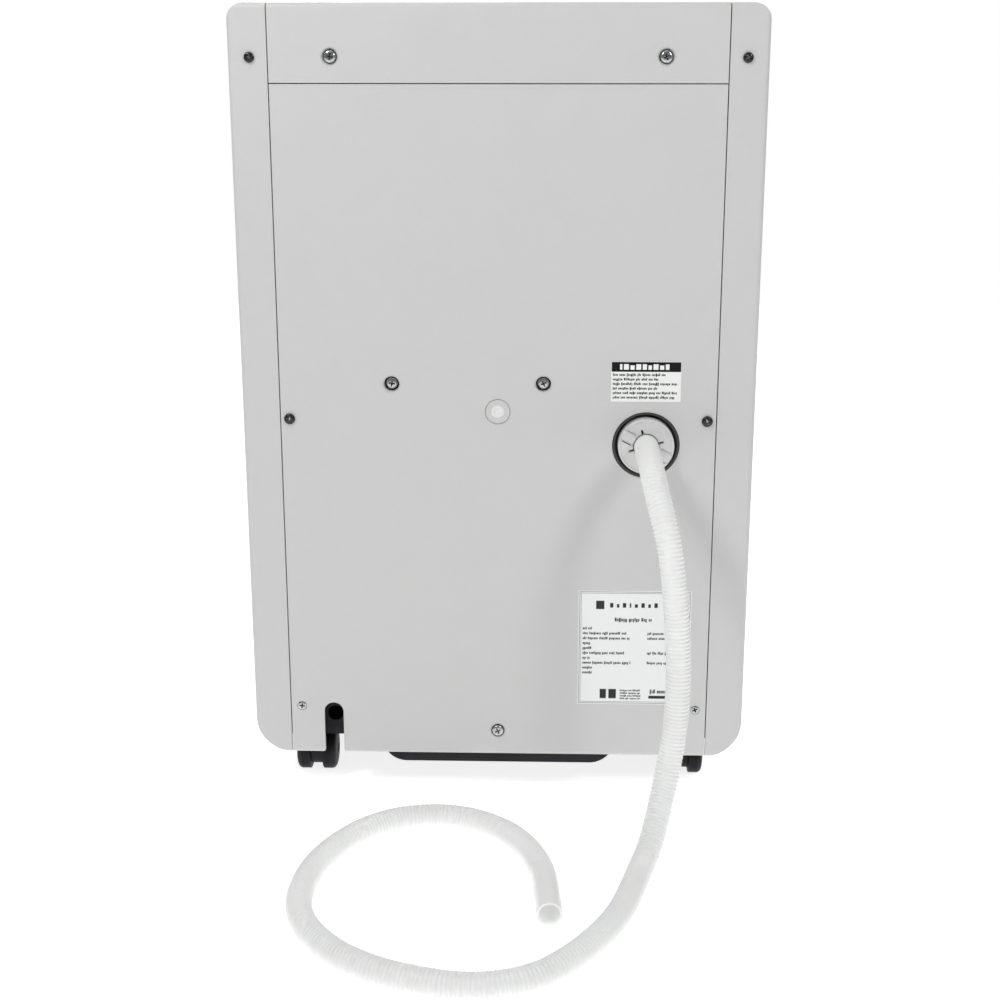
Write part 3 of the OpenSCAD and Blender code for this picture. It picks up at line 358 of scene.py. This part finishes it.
HOSE_R = 9.5
HOSE_BORE = 7.6
RIB_PITCH = 3.0
RIB_DEPTH = 0.72
PLAIN_START = 40.0  # smooth length at the outlet
PLAIN_END = 56.0  # smooth length at the open end
ROUTE = [Vector(p) for p in [
    (-113.5, 137.5, 291), (-113.5, 144, 291), (-113.5, 151, 291), (-115, 178, 286), (-118, 200, 273),
    (-123, 216, 254), (-128, 224, 232), (-132, 228, 200), (-135, 229, 165),
    (-136, 230, 130), (-134.5, 231, 100), (-130, 235, 67), (-124, 245, 42),
    (-116, 266, 21), (-106, 293, 11), (-93, 338, 9.6), (-79, 370, 9.6),
    (-59, 401, 9.6), (-36, 425, 9.6), (-10, 437, 9.6), (18, 439, 9.6),
    (48, 432, 9.6), (76, 420, 9.6), (101, 401, 9.6), (121, 375, 9.6),
    (132, 347, 9.6), (134, 316, 9.6), (129, 284, 9.6), (117, 254, 9.6),
    (99, 228, 9.6), (77, 211, 9.6), (54, 204, 9.6), (31, 205, 9.6),
    (8, 215, 9.6), (-13, 234, 9.6), (-28, 260, 9.6), (-37, 291, 9.6),
    (-40, 320, 9.6), (-42, 350, 9.6)]]


def route_point(t):
    n = len(ROUTE) - 1
    i = min(int(t), n - 1)
    f = t - i
    a = ROUTE[i - 1] if i > 0 else 2 * ROUTE[0] - ROUTE[1]
    b, c = ROUTE[i], ROUTE[i + 1]
    d = ROUTE[i + 2] if i + 2 <= n else 2 * ROUTE[n] - ROUTE[n - 1]
    p = 0.5 * (2 * b + (c - a) * f + (2 * a - 5 * b + 4 * c - d) * f * f + (3 * b - a - 3 * c + d) * f ** 3)
    return Vector((p.x, p.y, max(p.z, HOSE_R)))


def evenly(step):
    """Points along the route a fixed distance apart."""
    fine = [route_point(k / 40) for k in range((len(ROUTE) - 1) * 40 + 1)]
    run = [0.0]
    for a, b in zip(fine, fine[1:]):
        run.append(run[-1] + (b - a).length)
    total, out, i = run[-1], [], 0
    count = int(round(total / step))
    for k in range(count + 1):
        s = min(total * k / count, total)
        while i < len(run) - 2 and run[i + 1] < s:
            i += 1
        u = (s - run[i]) / (run[i + 1] - run[i])
        out.append(fine[i].lerp(fine[i + 1], u))
    return out, total


def frames(points):
    n = len(points)
    tans = [(points[min(k + 1, n - 1)] - points[max(k - 1, 0)]).normalized() for k in range(n)]
    side = tans[0].cross(Vector((0, 0, 1))).normalized()
    out = []
    for t in tans:
        side = (side - side.dot(t) * t).normalized()
        out.append((side, t.cross(side)))
    return out


def hose():
    points, total = evenly(0.5)
    axes = frames(points)
    n, sides = len(points), 24
    verts, faces = [], []

    def ring(k, r):
        s, u = axes[k]
        base = len(verts)
        for j in range(sides):
            a = 2 * math.pi * j / sides
            verts.append((points[k] + r * (math.cos(a) * s + math.sin(a) * u)) * MM)
        return base

    def join(a, b):
        faces.extend((a + j, a + (j + 1) % sides, b + (j + 1) % sides, b + j) for j in range(sides))

    rings, skin = [], []
    for k in range(n):
        run = total * k / (n - 1)
        ribbed = min(1.0, max(0.0, (run - PLAIN_START) / 20)) * min(1.0, max(0.0, (total - PLAIN_END - run) / 10))
        wave = (0.5 - 0.5 * math.cos(2 * math.pi * run / RIB_PITCH)) ** 1.7
        lip = 0.25 * max(0.0, 1 - (total - run) / 1.4)
        rings.append(ring(k, HOSE_R - 0.02 - ribbed * RIB_DEPTH * wave - lip))
    inside = list(range(n - 1, -1, -16))
    if inside[-1] != 0:
        inside.append(0)
    for k in inside:
        edge = 0.25 if k == n - 1 else 0.0
        rings.append(ring(k, HOSE_BORE + edge))
    for i, (a, b) in enumerate(zip(rings, rings[1:])):
        join(a, b)
        skin += [1 if i >= n else 0] * sides
    join(rings[-1], rings[0])
    skin += [0] * sides
    o = piece("drain_hose_ribbed", verts, faces, [mats["hose_plastic"], glowing_bore], "cabinet",
              face_mats=skin)
    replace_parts(o, "drain_hose")
    path, _ = evenly(6.0)
    return total


hose_length = hose()


# ---- Finish of the CAD nodes ----

for sub in record["subparts"]:
    for s in nodes[sub["node"]].material_slots:
        s.material = mats[sub["material_slot"]]


# ---- Drain outlet: socket, cap ----

def around(cx, cy, rx, ry, a0, a1, n):
    """Points along an ellipse from a0 to a1 degrees."""
    turns = [math.radians(a0 + (a1 - a0) * k / n) for k in range(n + 1)]
    return [(cx + rx * math.cos(a), cy + ry * math.sin(a)) for a in turns]


def arc(cx, cy, r, a0, a1, n):
    return around(cx, cy, r, r, a0, a1, n)


def mm_loop(loop):
    return [(r * MM, d * MM) for r, d in loop]


# Faces of an eight-cornered block, four corners below and four above
SLOT_FACES = [(0, 1, 2, 3), (7, 6, 5, 4), (0, 4, 5, 1), (1, 5, 6, 2), (2, 6, 7, 3), (3, 7, 4, 0)]
BAR_TURN = -28  # degrees by which the cap's grip bar leans


def drain_outlet():
    at = Vector((port.x, rear_y, port.z))
    s = Shape()
    s.lathe(mm_loop([(25.6, -12), (25.6, -0.9), *arc(24.9, -0.9, 0.7, 0, 90, 4), (24.0, -0.35), (23.5, -1.6),
                     *arc(22.9, -1.9, 0.5, 30, -60, 3), (22.6, -6.5), (22.3, -9.3), (19.3, -9.5), (19.2, -12)]), at, 96)
    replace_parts(s.piece("drain_socket", mats["port_plastic"], "cabinet", "port_plastic"), "drain_port")

    s = Shape()
    s.lathe(mm_loop([(21.5, -8), (21.5, 4.2), *arc(20.6, 4.6, 0.9, 0, 90, 5), (19.9, 5.45), (19.6, 5.1), (19.2, 5.1),
                     (18.9, 5.4), (11.4, 5.4), *arc(10.6, 4.8, 0.6, 90, 180, 4), (10.0, 2.5), (19, 2.5),
                     (19, -8)]), at, 96)
    cap = s.piece("drain_cap_turned", mats["cap_plastic"], "cap", "cap_plastic")
    tool = Shape()
    for a in (74, 164, 254, 344):
        c, q = math.cos(math.radians(a)), math.sin(math.radians(a))
        corners = []
        for d in (2.0, 9.0):
            for along, across in ((9.2, -0.8), (13.6, -0.8), (13.6, 0.8), (9.2, 0.8)):
                corners.append(at + Vector((along * c - across * q, d, along * q + across * c)) * MM)
        tool.take(corners, SLOT_FACES)
    turn = Matrix.Rotation(math.radians(BAR_TURN), 3, "Y")
    for side in (-1, 1):
        for z0, z1, d0 in ((-4.95, -4.05, 3.4), (4.05, 4.5, 4.4)):
            corners = [at + turn @ (Vector((side * x, d, z)) * MM) for d in (d0, 9.0)
                       for x, z in ((11.6, z0), (18.4, z0), (18.4, z1), (11.6, z1))]
            tool.take(corners, SLOT_FACES)
    cut(cap, plain("slots", tool))
    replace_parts(cap, "drain_cap")

    bars = Shape()
    for side in (-1, 1):
        stations = [(10.25, 1.0), (18.6, 1.0), (19.6, 0.93), (20.3, 0.75), (20.8, 0.45), (21.0, 0.05)]
        section = [(-4.1, 5.3), (-3.7, 5.5), (-3.25, 6.1), (-2.95, 7.1), (-2.3, 7.75), (-1.2, 7.97), (0, 8.0),
                   (1.2, 7.97), (2.3, 7.75), (2.95, 7.1), (3.25, 6.1), (3.7, 5.5), (4.1, 5.3)]
        v = []
        for x, h in stations:
            for z, y in section:
                v.append(at + turn @ (Vector((side * x, 5.3 + (y - 5.3) * h, z)) * MM))
        m = len(section)
        f = [(k * m + i, k * m + i + 1, (k + 1) * m + i + 1, (k + 1) * m + i)
             for k in range(len(stations) - 1) for i in range(m - 1)]
        f += [(k * m, (k + 1) * m, (k + 1) * m + m - 1, k * m + m - 1) for k in range(len(stations) - 1)]
        f += [tuple(range(m)), tuple(range(len(stations) * m - 1, (len(stations) - 1) * m - 1, -1))]
        bars.take(v, f)
    bars.piece("drain_cap_grip", mats["cap_plastic"], "cap", "cap_plastic")


drain_outlet()


# ---- Screws ----

def screw_mesh(r, h, recess, shank, countersunk=False):
    """Head up +Y from its seat at 0, with a tapered cross recess and a threaded shank."""
    loop = [(0.02, -shank)]
    y, big = -shank + 1.2, True
    while y < -1.0:
        loop.append((2.0 if big else 1.55, y))
        y += 0.45
        big = not big
    loop.append((1.9, -0.6))
    if countersunk:
        loop += [(2.0, -0.2), (r, h - 0.45), (r, h - 0.2), (r - 0.25, h), (0.02, h + 0.1)]
    else:
        loop += [(2.0, 0), (r - 0.15, 0), (r, 0.15), (r, h * 0.35), (r - 0.12, h * 0.58), (r - 0.5, h * 0.8),
                 (r - 1.2, h * 0.94), (r * 0.5, h), (0.02, h + 0.02)]
    s = Shape()
    s.lathe(mm_loop(loop), (0, 0, 0), 40)
    head = plain("screw", s)
    head.data.materials.append(mats["screw_steel"])
    t, (a, w) = Shape(), recess
    plus = [(-w, -a), (w, -a), (w, -w), (a, -w), (a, w), (w, w), (w, a), (-w, a), (-w, w), (-a, w), (-a, -w), (-w, -w)]
    top = [(x * MM * 1.05, (h + 0.6) * MM, z * MM * 1.05) for x, z in plus]
    low = [(x * MM * 0.55, (h - 1.5) * MM, z * MM * 0.55) for x, z in plus]
    m = len(plus)
    t.take(low + top, [tuple(range(m)), tuple(range(2 * m - 1, m - 1, -1))]
           + [(k, k + m, (k + 1) % m + m, (k + 1) % m) for k in range(m)])
    cut(head, plain("cross", t))
    data = head.data
    # Faces inside the cross recess take the second material: painted shade on the bright screws, a painted glint on the
    # blackish ones.
    painted_recess_faces = [int((h - 1.6) * MM < p.center.y < (h - 0.25) * MM and math.hypot(p.center.x, p.center.z) < a * MM)
            for p in data.polygons]
    bpy.data.objects.remove(head)
    return data, painted_recess_faces


def screws(name, material, slot, places, data, seat_y, recess_paint=recess):
    s = Shape()
    for i, (x, z) in enumerate(places):
        turn = Matrix.Rotation(math.radians(23 + 57 * i), 3, "Y")
        s.take([Vector((x * MM, seat_y, z * MM)) + turn @ v.co for v in data[0].vertices],
               [tuple(p.vertices) for p in data[0].polygons])
        s.mats[-len(data[1]):] = data[1]
    return s.piece(name, [material, recess_paint], "cabinet", slot)


# Places of the panel's screws as (x, z), and how far each kind sits below the rear face
SKIRT_SCREWS, SKIRT_DEPTH = [(-121.5, 578.6), (121.5, 578.6)], 1.4
POCKET_SCREWS, POCKET_DEPTH = [(-34.7, 338), (81, 337.5)], 5.5
LOW_SCREW, LOW_DEPTH = [(0, 53)], 0.8
RING_Z = 316.5

pan = screw_mesh(4.6, 2.6, (2.7, 0.55), 9)
for name, places, depth in (("skirt_and_pocket_screws", SKIRT_SCREWS, SKIRT_DEPTH),
                            ("pocket_screws", POCKET_SCREWS, POCKET_DEPTH), ("low_screw", LOW_SCREW, LOW_DEPTH)):
    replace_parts(screws(name, mats["screw_steel"], "screw_steel", places, pan, rear_y - depth * MM), "panel_screws")
# The blackish strip and edge screws take bright steel inside their cross recesses: a painted glint.
strip = screw_mesh(3.8, 2.2, (2.3, 0.5), 9)
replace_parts(screws("strip_screw_heads", mats["screw_dark"], "screw_dark",
                   [(-180, 578), (180, 578)], strip, rear_y, mats["screw_steel"]), "strip_screws")
edge = screw_mesh(4.2, 2.2, (2.4, 0.5), 9)
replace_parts(screws("edge_screw_heads", mats["screw_dark"], "screw_dark",
                   [(-159.8, 310), (159.8, 310)], edge, rear_y, mats["screw_steel"]), "edge_screws")
low = screw_mesh(3.5, 1.75, (2.4, 0.6), 7, True)
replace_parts(screws("lower_screw_heads", mats["screw_steel"], "screw_steel",
                   [(-158, 72.5), (158, 72.5)], low, rear_y - 1.6 * MM), "lower_screws")


# ---- Moulded details on the rear panel ----

def panel_details():
    s = Shape()
    for x, z in POCKET_SCREWS:
        s.lathe(mm_loop([(7.0, 0.02), (6.7, 0.05), *arc(6.9, -1.0, 1.0, 100, 178, 5), (5.75, -5.4), (7.0, -5.4)]),
                (x * MM, rear_y, z * MM), 64)
    for x, z in SKIRT_SCREWS:
        s.lathe(mm_loop([(6.6, 0.02), (6.2, 0.03), *arc(6.3, -0.5, 0.5, 100, 178, 4), (5.7, -1.35), (6.6, -1.35)]),
                (x * MM, rear_y, z * MM), 64)
    for x, z in LOW_SCREW:
        s.lathe(mm_loop([(6.0, 0.02), (5.6, 0.03), *arc(5.7, -0.4, 0.4, 100, 178, 3), (5.25, -0.78), (6.0, -0.78)]),
                (x * MM, rear_y, z * MM), 64)
    s.piece("screw_pockets", mats["shell_plastic"], "cabinet", "shell_plastic")
    # Blackish rings on the floors of the screws' recesses, round each head: painted shade in the gap between head and
    # recess.
    w = Shape()
    for places, depth, r in ((POCKET_SCREWS, POCKET_DEPTH, 5.74), (SKIRT_SCREWS, SKIRT_DEPTH, 5.1),
                             (LOW_SCREW, LOW_DEPTH, 5.24)):
        d = -depth
        for x, z in places:
            w.lathe(mm_loop([(3.0, d - 0.1), (r, d - 0.1), (r, d + 0.32), (r - 0.3, d + 0.42), (3.2, d + 0.42)]),
                    (x * MM, rear_y, z * MM), 56)
    w.piece("screw_shade_rings", mats["screw_dark"], "cabinet", "screw_dark")
    b = Shape()
    b.lathe(mm_loop([(0.02, -0.3), (4.9, -0.3), (4.9, 0.02), (4.6, 0.1), *arc(3.2, 0.1, 0.95, 15, 165, 8), (1.5, 0.1),
                     (0.02, 0.02)]), (0, rear_y, RING_Z * MM), 64)
    b.piece("moulded_button", moulding, "cabinet", "shell_plastic")


panel_details()


# ---- Labels: generic marks in place of print ----

def label(name, node, base, marks, ink_mat, slot):
    lo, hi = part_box(node)
    s = Shape()
    s.block((lo.x, lo.y, lo.z), (hi.x, hi.y - 0.00004, hi.z), 0.00008, 0)
    for x0, z0, x1, z1 in marks:
        s.box((lo.x + x0 * MM, lo.y + 0.0001, lo.z + z0 * MM), (lo.x + x1 * MM, hi.y, lo.z + z1 * MM), 1)
    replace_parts(s.piece(name, [base, ink_mat], "cabinet", slot, smooth=False), node)


def words(marks, rng, x_from, x_to, z, height, width_of=1.0):
    """Blocks of several widths and heights, which stand for a line of print. Seen from behind, x runs down."""
    x = x_from
    while x - 1.2 * width_of > x_to:
        for _ in range(rng.randint(3, 8)):
            w = rng.uniform(0.55, 0.95) * width_of
            if x - w < x_to:
                break
            tall = rng.choice((0.72, 0.72, 0.72, 1.0))
            drop = rng.choice((0, 0, 0, 0, 0.25))
            marks.append((x - w, z - drop * height, x, z + height * tall))
            x -= w + 0.28 * width_of
        x -= 0.85 * width_of


def instruction():
    rng = random.Random(4)
    marks = [(0.3, 23.2, 52.7, 30.7)]
    for i, z in enumerate((20.0, 16.5, 13.0, 9.5, 6.0, 2.5)):
        words(marks, rng, 51.6, (11, 17, 2.5, 17, 3, 4)[i], z, 1.95, 1.05)
    return marks


label("instruction_marks", "instruction_label", mats["label_vinyl"], instruction(), ink, "label_vinyl")
lo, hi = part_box("instruction_label")
s = Shape()
x = 46.5
for w, h in ((1.8, 4.3), (3.8, 4.3), (3.2, 3.4), (3.8, 4.3), (3.2, 4.3), (2.6, 3.4), (3.8, 4.3), (3.2, 3.4),
             (2.8, 4.3)):
    s.box((lo.x + (x - w) * MM, hi.y - 0.0001, lo.z + 24.8 * MM),
          (lo.x + x * MM, hi.y + 0.00005, lo.z + (24.8 + h) * MM))
    x -= w + 1.15
s.piece("instruction_header_marks", mats["label_vinyl"], "cabinet", "label_vinyl", smooth=False)


def rating():
    rng = random.Random(11)
    m = []
    w, h = 88.8, 96.0  # the label's width and height
    for inset, t in ((0.8, 0.35), (2.0, 0.25)):
        m += [(inset, inset, w - inset, inset + t), (inset, h - inset - t, w - inset, h - inset),
              (inset, inset, inset + t, h - inset), (w - inset - t, inset, w - inset, h - inset)]
    x = 64.0
    for w, h in ((2.6, 3.8), (1.9, 2.9), (2.6, 3.8), (1.2, 3.8), (2.4, 2.9), (2.6, 3.8), (2.0, 2.9), (2.6, 3.8)):
        m.append((x - w, 82.0, x, 82.0 + h))
        x -= w + 2.8
    m.append((68.5, 80.6, 75.0, 87.6))
    words(m, rng, 60, 30, 70.5, 3.0, 1.5)
    for k, end in enumerate((78, 62, 60, 79, 76, 64, 79, 58, 77, 77)):
        z = 63.5 - k * 4.15
        words(m, rng, 85.2, end - (12 if end < 70 else 0), z, 2.2, 1.1)
        if k in (1, 2, 5, 7):
            words(m, rng, 34, 6 + 3 * (k % 3), z, 2.2, 1.1)
    m.append((58, 5.0, 64, 13.0))
    m.append((66, 5.0, 71, 13.0))
    for k in range(4):
        words(m, rng, 55, 38, 11.2 - k * 2.3, 1.5, 0.8)
    m.append((12, 5.0, 32, 7.5))
    words(m, rng, 31, 12, 9.5, 3.4, 1.5)
    return m


label("rating_marks", "rating_label", mats["rating_vinyl"], rating(), rating_ink, "rating_vinyl")


# ---- Casters: twin wheels with crowned faces and fine ridges ----

def wheel_pair(name):
    lo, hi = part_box(name)
    c = (lo + hi) / 2
    r, half = (hi.z - lo.z) / 2 / MM, (hi.x - lo.x) / 2 / MM
    s = Shape()
    for side in (-1, 1):
        tread = [(r - 0.9, 5.0), (r - 0.2, 5.4), (r, 6.0)]
        for k in range(8):
            d = 6.4 + k * 0.72
            tread += [(r, d), (r - 0.22, d + 0.22), (r - 0.22, d + 0.4), (r, d + 0.6)]
        crown = [(r - 0.05, 12.4), (r - 0.35, 13.6), (r - 1.1, 14.7), (r - 2.3, 15.6), (r - 4.2, 16.25),
                 (r - 6.6, 16.6)]
        face = [(r - 8.6, 16.75), (r - 8.9, 16.4), (r - 9.4, 16.4), (r - 9.8, 16.8), (4.6, half - 0.15),
                (4.2, half - 0.1), (3.8, half - 0.6), (3.0, half - 0.9), (0.02, half - 0.7)]
        loop = [(0.02, 5.0)] + tread + crown + face
        s.lathe([(q * MM, side * d * MM) for q, d in loop], c, 72, axis="x")
    s.lathe(mm_loop([(0.02, -6), (3, -6), (3, 6), (0.02, 6)]), c, 24, axis="x")
    return s.piece(name + "_turned", mats["caster_plastic"], name.replace("_wheels", "_roller"), "caster_plastic")


for corner in ("front_left", "front_right", "rear_left", "rear_right"):
    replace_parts(wheel_pair(corner + "_wheels"), corner + "_wheels")


# ---- Air filter: woven strands over the frame's membrane ----

def filter_weave():
    lo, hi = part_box("air_filter")
    x0, x1 = -138 * MM, 187.5 * MM
    z0, z1 = lo.z + 8 * MM, hi.z - 8 * MM
    y = lo.y + 3.9 * MM
    s = Shape()
    pitch, t = 2.4 * MM, 0.22 * MM
    for k in range(int((x1 - x0) / pitch) + 1):
        x = x0 + k * pitch
        s.box((x - t, y - 0.3 * MM, z0), (x + t, y, z1))
    for k in range(int((z1 - z0) / pitch) + 1):
        z = z0 + k * pitch
        s.box((x0, y - 0.1 * MM, z - t), (x1, y + 0.2 * MM, z + t))
    s.piece("filter_weave", mats["filter_mesh"], "air_filter", "filter_mesh", smooth=False)


filter_weave()


# ---- Control panel: plain symbols, unlit digits ----

def stroke(s, points, z, width, closed=False, lift=0.06 * MM):
    """A flat line of the given width along points of (x, y), lying at height z."""
    n = len(points)
    for k in range(n if closed else n - 1):
        a, b = Vector(points[k]), Vector(points[(k + 1) % n])
        d = (b - a).normalized() * width * 0.5
        q = Vector((-d.y, d.x))
        c = [a - d * 0.6 - q, b + d * 0.6 - q, b + d * 0.6 + q, a - d * 0.6 + q]
        v = [(p.x, p.y, z - 0.1 * MM) for p in c] + [(p.x, p.y, z + lift) for p in c]
        s.take(v, [(3, 2, 1, 0), (4, 5, 6, 7), (0, 1, 5, 4), (1, 2, 6, 5), (2, 3, 7, 6), (3, 0, 4, 7)])


def icon(name):
    if name == "power_button":
        return [around(0, -0.2, 2.2, 2.2, 125, 415, 20), [(0, 0.3), (0, 2.6)]]
    if name == "mode_button":
        return [[(0, 2.7), (-1.0, 1.0)] + around(0, -0.6, 1.7, 1.7, 160, 380, 16) + [(1.0, 1.0), (0, 2.7)]]
    if name == "fan_button":
        out = []
        for a in (90, 210, 330):
            c, q = math.cos(math.radians(a)), math.sin(math.radians(a))
            loop = around(1.45, 0.35, 1.15, 0.75, 0, 360, 12)
            out.append([(x * c - y * q, x * q + y * c) for x, y in loop])
        return out + [around(0, 0, 0.35, 0.35, 0, 360, 8)]
    if name == "timer_button":
        return [around(0, 0, 2.4, 2.4, 0, 360, 24), [(0, 1.6), (0, 0), (1.2, -0.5)]]
    if name == "down_button":
        return [[(-1.9, 0.8), (0, -1.1), (1.9, 0.8)]]
    return [[(-1.9, -0.8), (0, 1.1), (1.9, -0.8)]]


for name in ("power_button", "mode_button", "fan_button", "timer_button", "down_button", "up_button"):
    lo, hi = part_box(name)
    cx, cy = (lo.x + hi.x) / 2, (lo.y + hi.y) / 2
    s = Shape()
    for line in icon(name):
        stroke(s, [(cx + x * MM, cy + y * MM) for x, y in line], hi.z, 0.45 * MM)
    s.piece(name.replace("button", "symbol"), ink, name, "button_plastic", smooth=False)


def display_digits():
    lo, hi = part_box("display_window")
    cx, cy = (lo.x + hi.x) / 2, (lo.y + hi.y) / 2
    s = Shape()
    for dx in (-7.2, 7.2):
        w, h = 4.4, 7.2
        for a, b in (((-w, h), (w, h)), ((-w, 0), (w, 0)), ((-w, -h), (w, -h)), ((-w, h), (-w, 0)), ((w, h), (w, 0)),
                     ((-w, 0), (-w, -h)), ((w, 0), (w, -h))):
            p, q = Vector(a), Vector(b)
            d = (q - p).normalized() * 0.9
            lean = [((u.x + dx + u.y * 0.1) * MM + cx, u.y * MM + cy) for u in (p + d, q - d)]
            stroke(s, lean, hi.z, 1.3 * MM)
    for k in range(3):
        for side in (-1, 1):
            stroke(s, [(cx + (side * 24 + u) * MM, cy + (k - 1) * 5.2 * MM) for u in (-1.2, 1.2)], hi.z, 1.0 * MM)
    s.piece("display_segments", unlit, "cabinet", "window_plastic", smooth=False)


display_digits()


def level_marks():
    """Graduations on the bucket's sight window."""
    lo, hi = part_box("bucket_window")
    s = Shape()
    for k in range(9):
        z = lo.z + (14 + k * 11.5) * MM
        half = (6.5 if k % 2 == 0 else 3.5) * MM
        s.box((hi.x - 2.5 * MM - half, lo.y - 0.25 * MM, z - 0.4 * MM),
              (hi.x - 2.5 * MM, lo.y + 0.1 * MM, z + 0.4 * MM))
    s.piece("level_marks", moulding, "bucket", "shell_plastic", smooth=False)


level_marks()


# ---- Light and floor ----

def lamp(name, place, target, size, power):
    d = bpy.data.lights.new(name, "AREA")
    d.shape, d.size, d.energy = "DISK", size, power
    o = bpy.data.objects.new(name, d)
    o.location = place
    o.rotation_euler = (Vector(target) - Vector(place)).to_track_quat("-Z", "Y").to_euler()
    scene.collection.objects.link(o)


lamp("key_softbox", (0.6, 0.8, 1.3), (0, 0.137, 0.42), 0.32, 7.0)
lamp("fill_softbox", (-1.0, 1.15, 1.2), (0, 0.137, 0.35), 0.34, 6.4)
lamp("overhead_softbox", (0.0, 0.1, 2.2), (0, 0.0, 0.2), 1.6, 7.5)
lamp("front_softbox", (0.5, -1.9, 1.6), (0, -0.1, 0.35), 0.9, 12)

world = bpy.data.worlds.new("studio")
scene.world = world
world.use_nodes = True
wt = world.node_tree
back = wt.nodes["Background"]
back.inputs["Color"].default_value = (1, 1, 1, 1)
path = wt.nodes.new("ShaderNodeLightPath")
level = wt.nodes.new("ShaderNodeMapRange")
level.inputs["To Min"].default_value = 0.25
level.inputs["To Max"].default_value = 1.0
wt.links.new(path.outputs["Is Camera Ray"], level.inputs["Value"])
wt.links.new(level.outputs["Result"], back.inputs["Strength"])

FLOOR_R, FLOOR_SIDES = 2.4, 96
floor_mesh = bpy.data.meshes.new("floor")
half = FLOOR_SIDES // 2
ring = [(FLOOR_R * math.cos(math.pi * k / half), FLOOR_R * math.sin(math.pi * k / half), 0) for k in range(FLOOR_SIDES)]
floor_mesh.from_pydata(ring, [], [tuple(range(FLOOR_SIDES))])
floor = bpy.data.objects.new("floor", floor_mesh)
scene.collection.objects.link(floor)
# White from above, clear from below, so that the floor doesn't hide the underside
fm, ft, fb = tree("floor_paper")
fb.inputs["Base Color"].default_value = (0.78, 0.78, 0.78, 1)
fb.inputs["Roughness"].default_value = 0.9
fb.inputs["Specular IOR Level"].default_value = 0.1
fb.inputs["Emission Color"].default_value = (1, 1, 1, 1)
fb.inputs["Emission Strength"].default_value = 0.82
clear = add(ft, "ShaderNodeBsdfTransparent")
side = add(ft, "ShaderNodeNewGeometry")
either = add(ft, "ShaderNodeMixShader")
ft.links.new(side.outputs["Backfacing"], either.inputs[0])
ft.links.new(fb.outputs[0], either.inputs[1])
ft.links.new(clear.outputs[0], either.inputs[2])
ft.links.new(either.outputs[0], next(n for n in ft.nodes if n.type == "OUTPUT_MATERIAL").inputs["Surface"])
floor_mesh.materials.append(fm)

scene.view_settings.view_transform = "Standard"
scene.view_settings.look = "None"
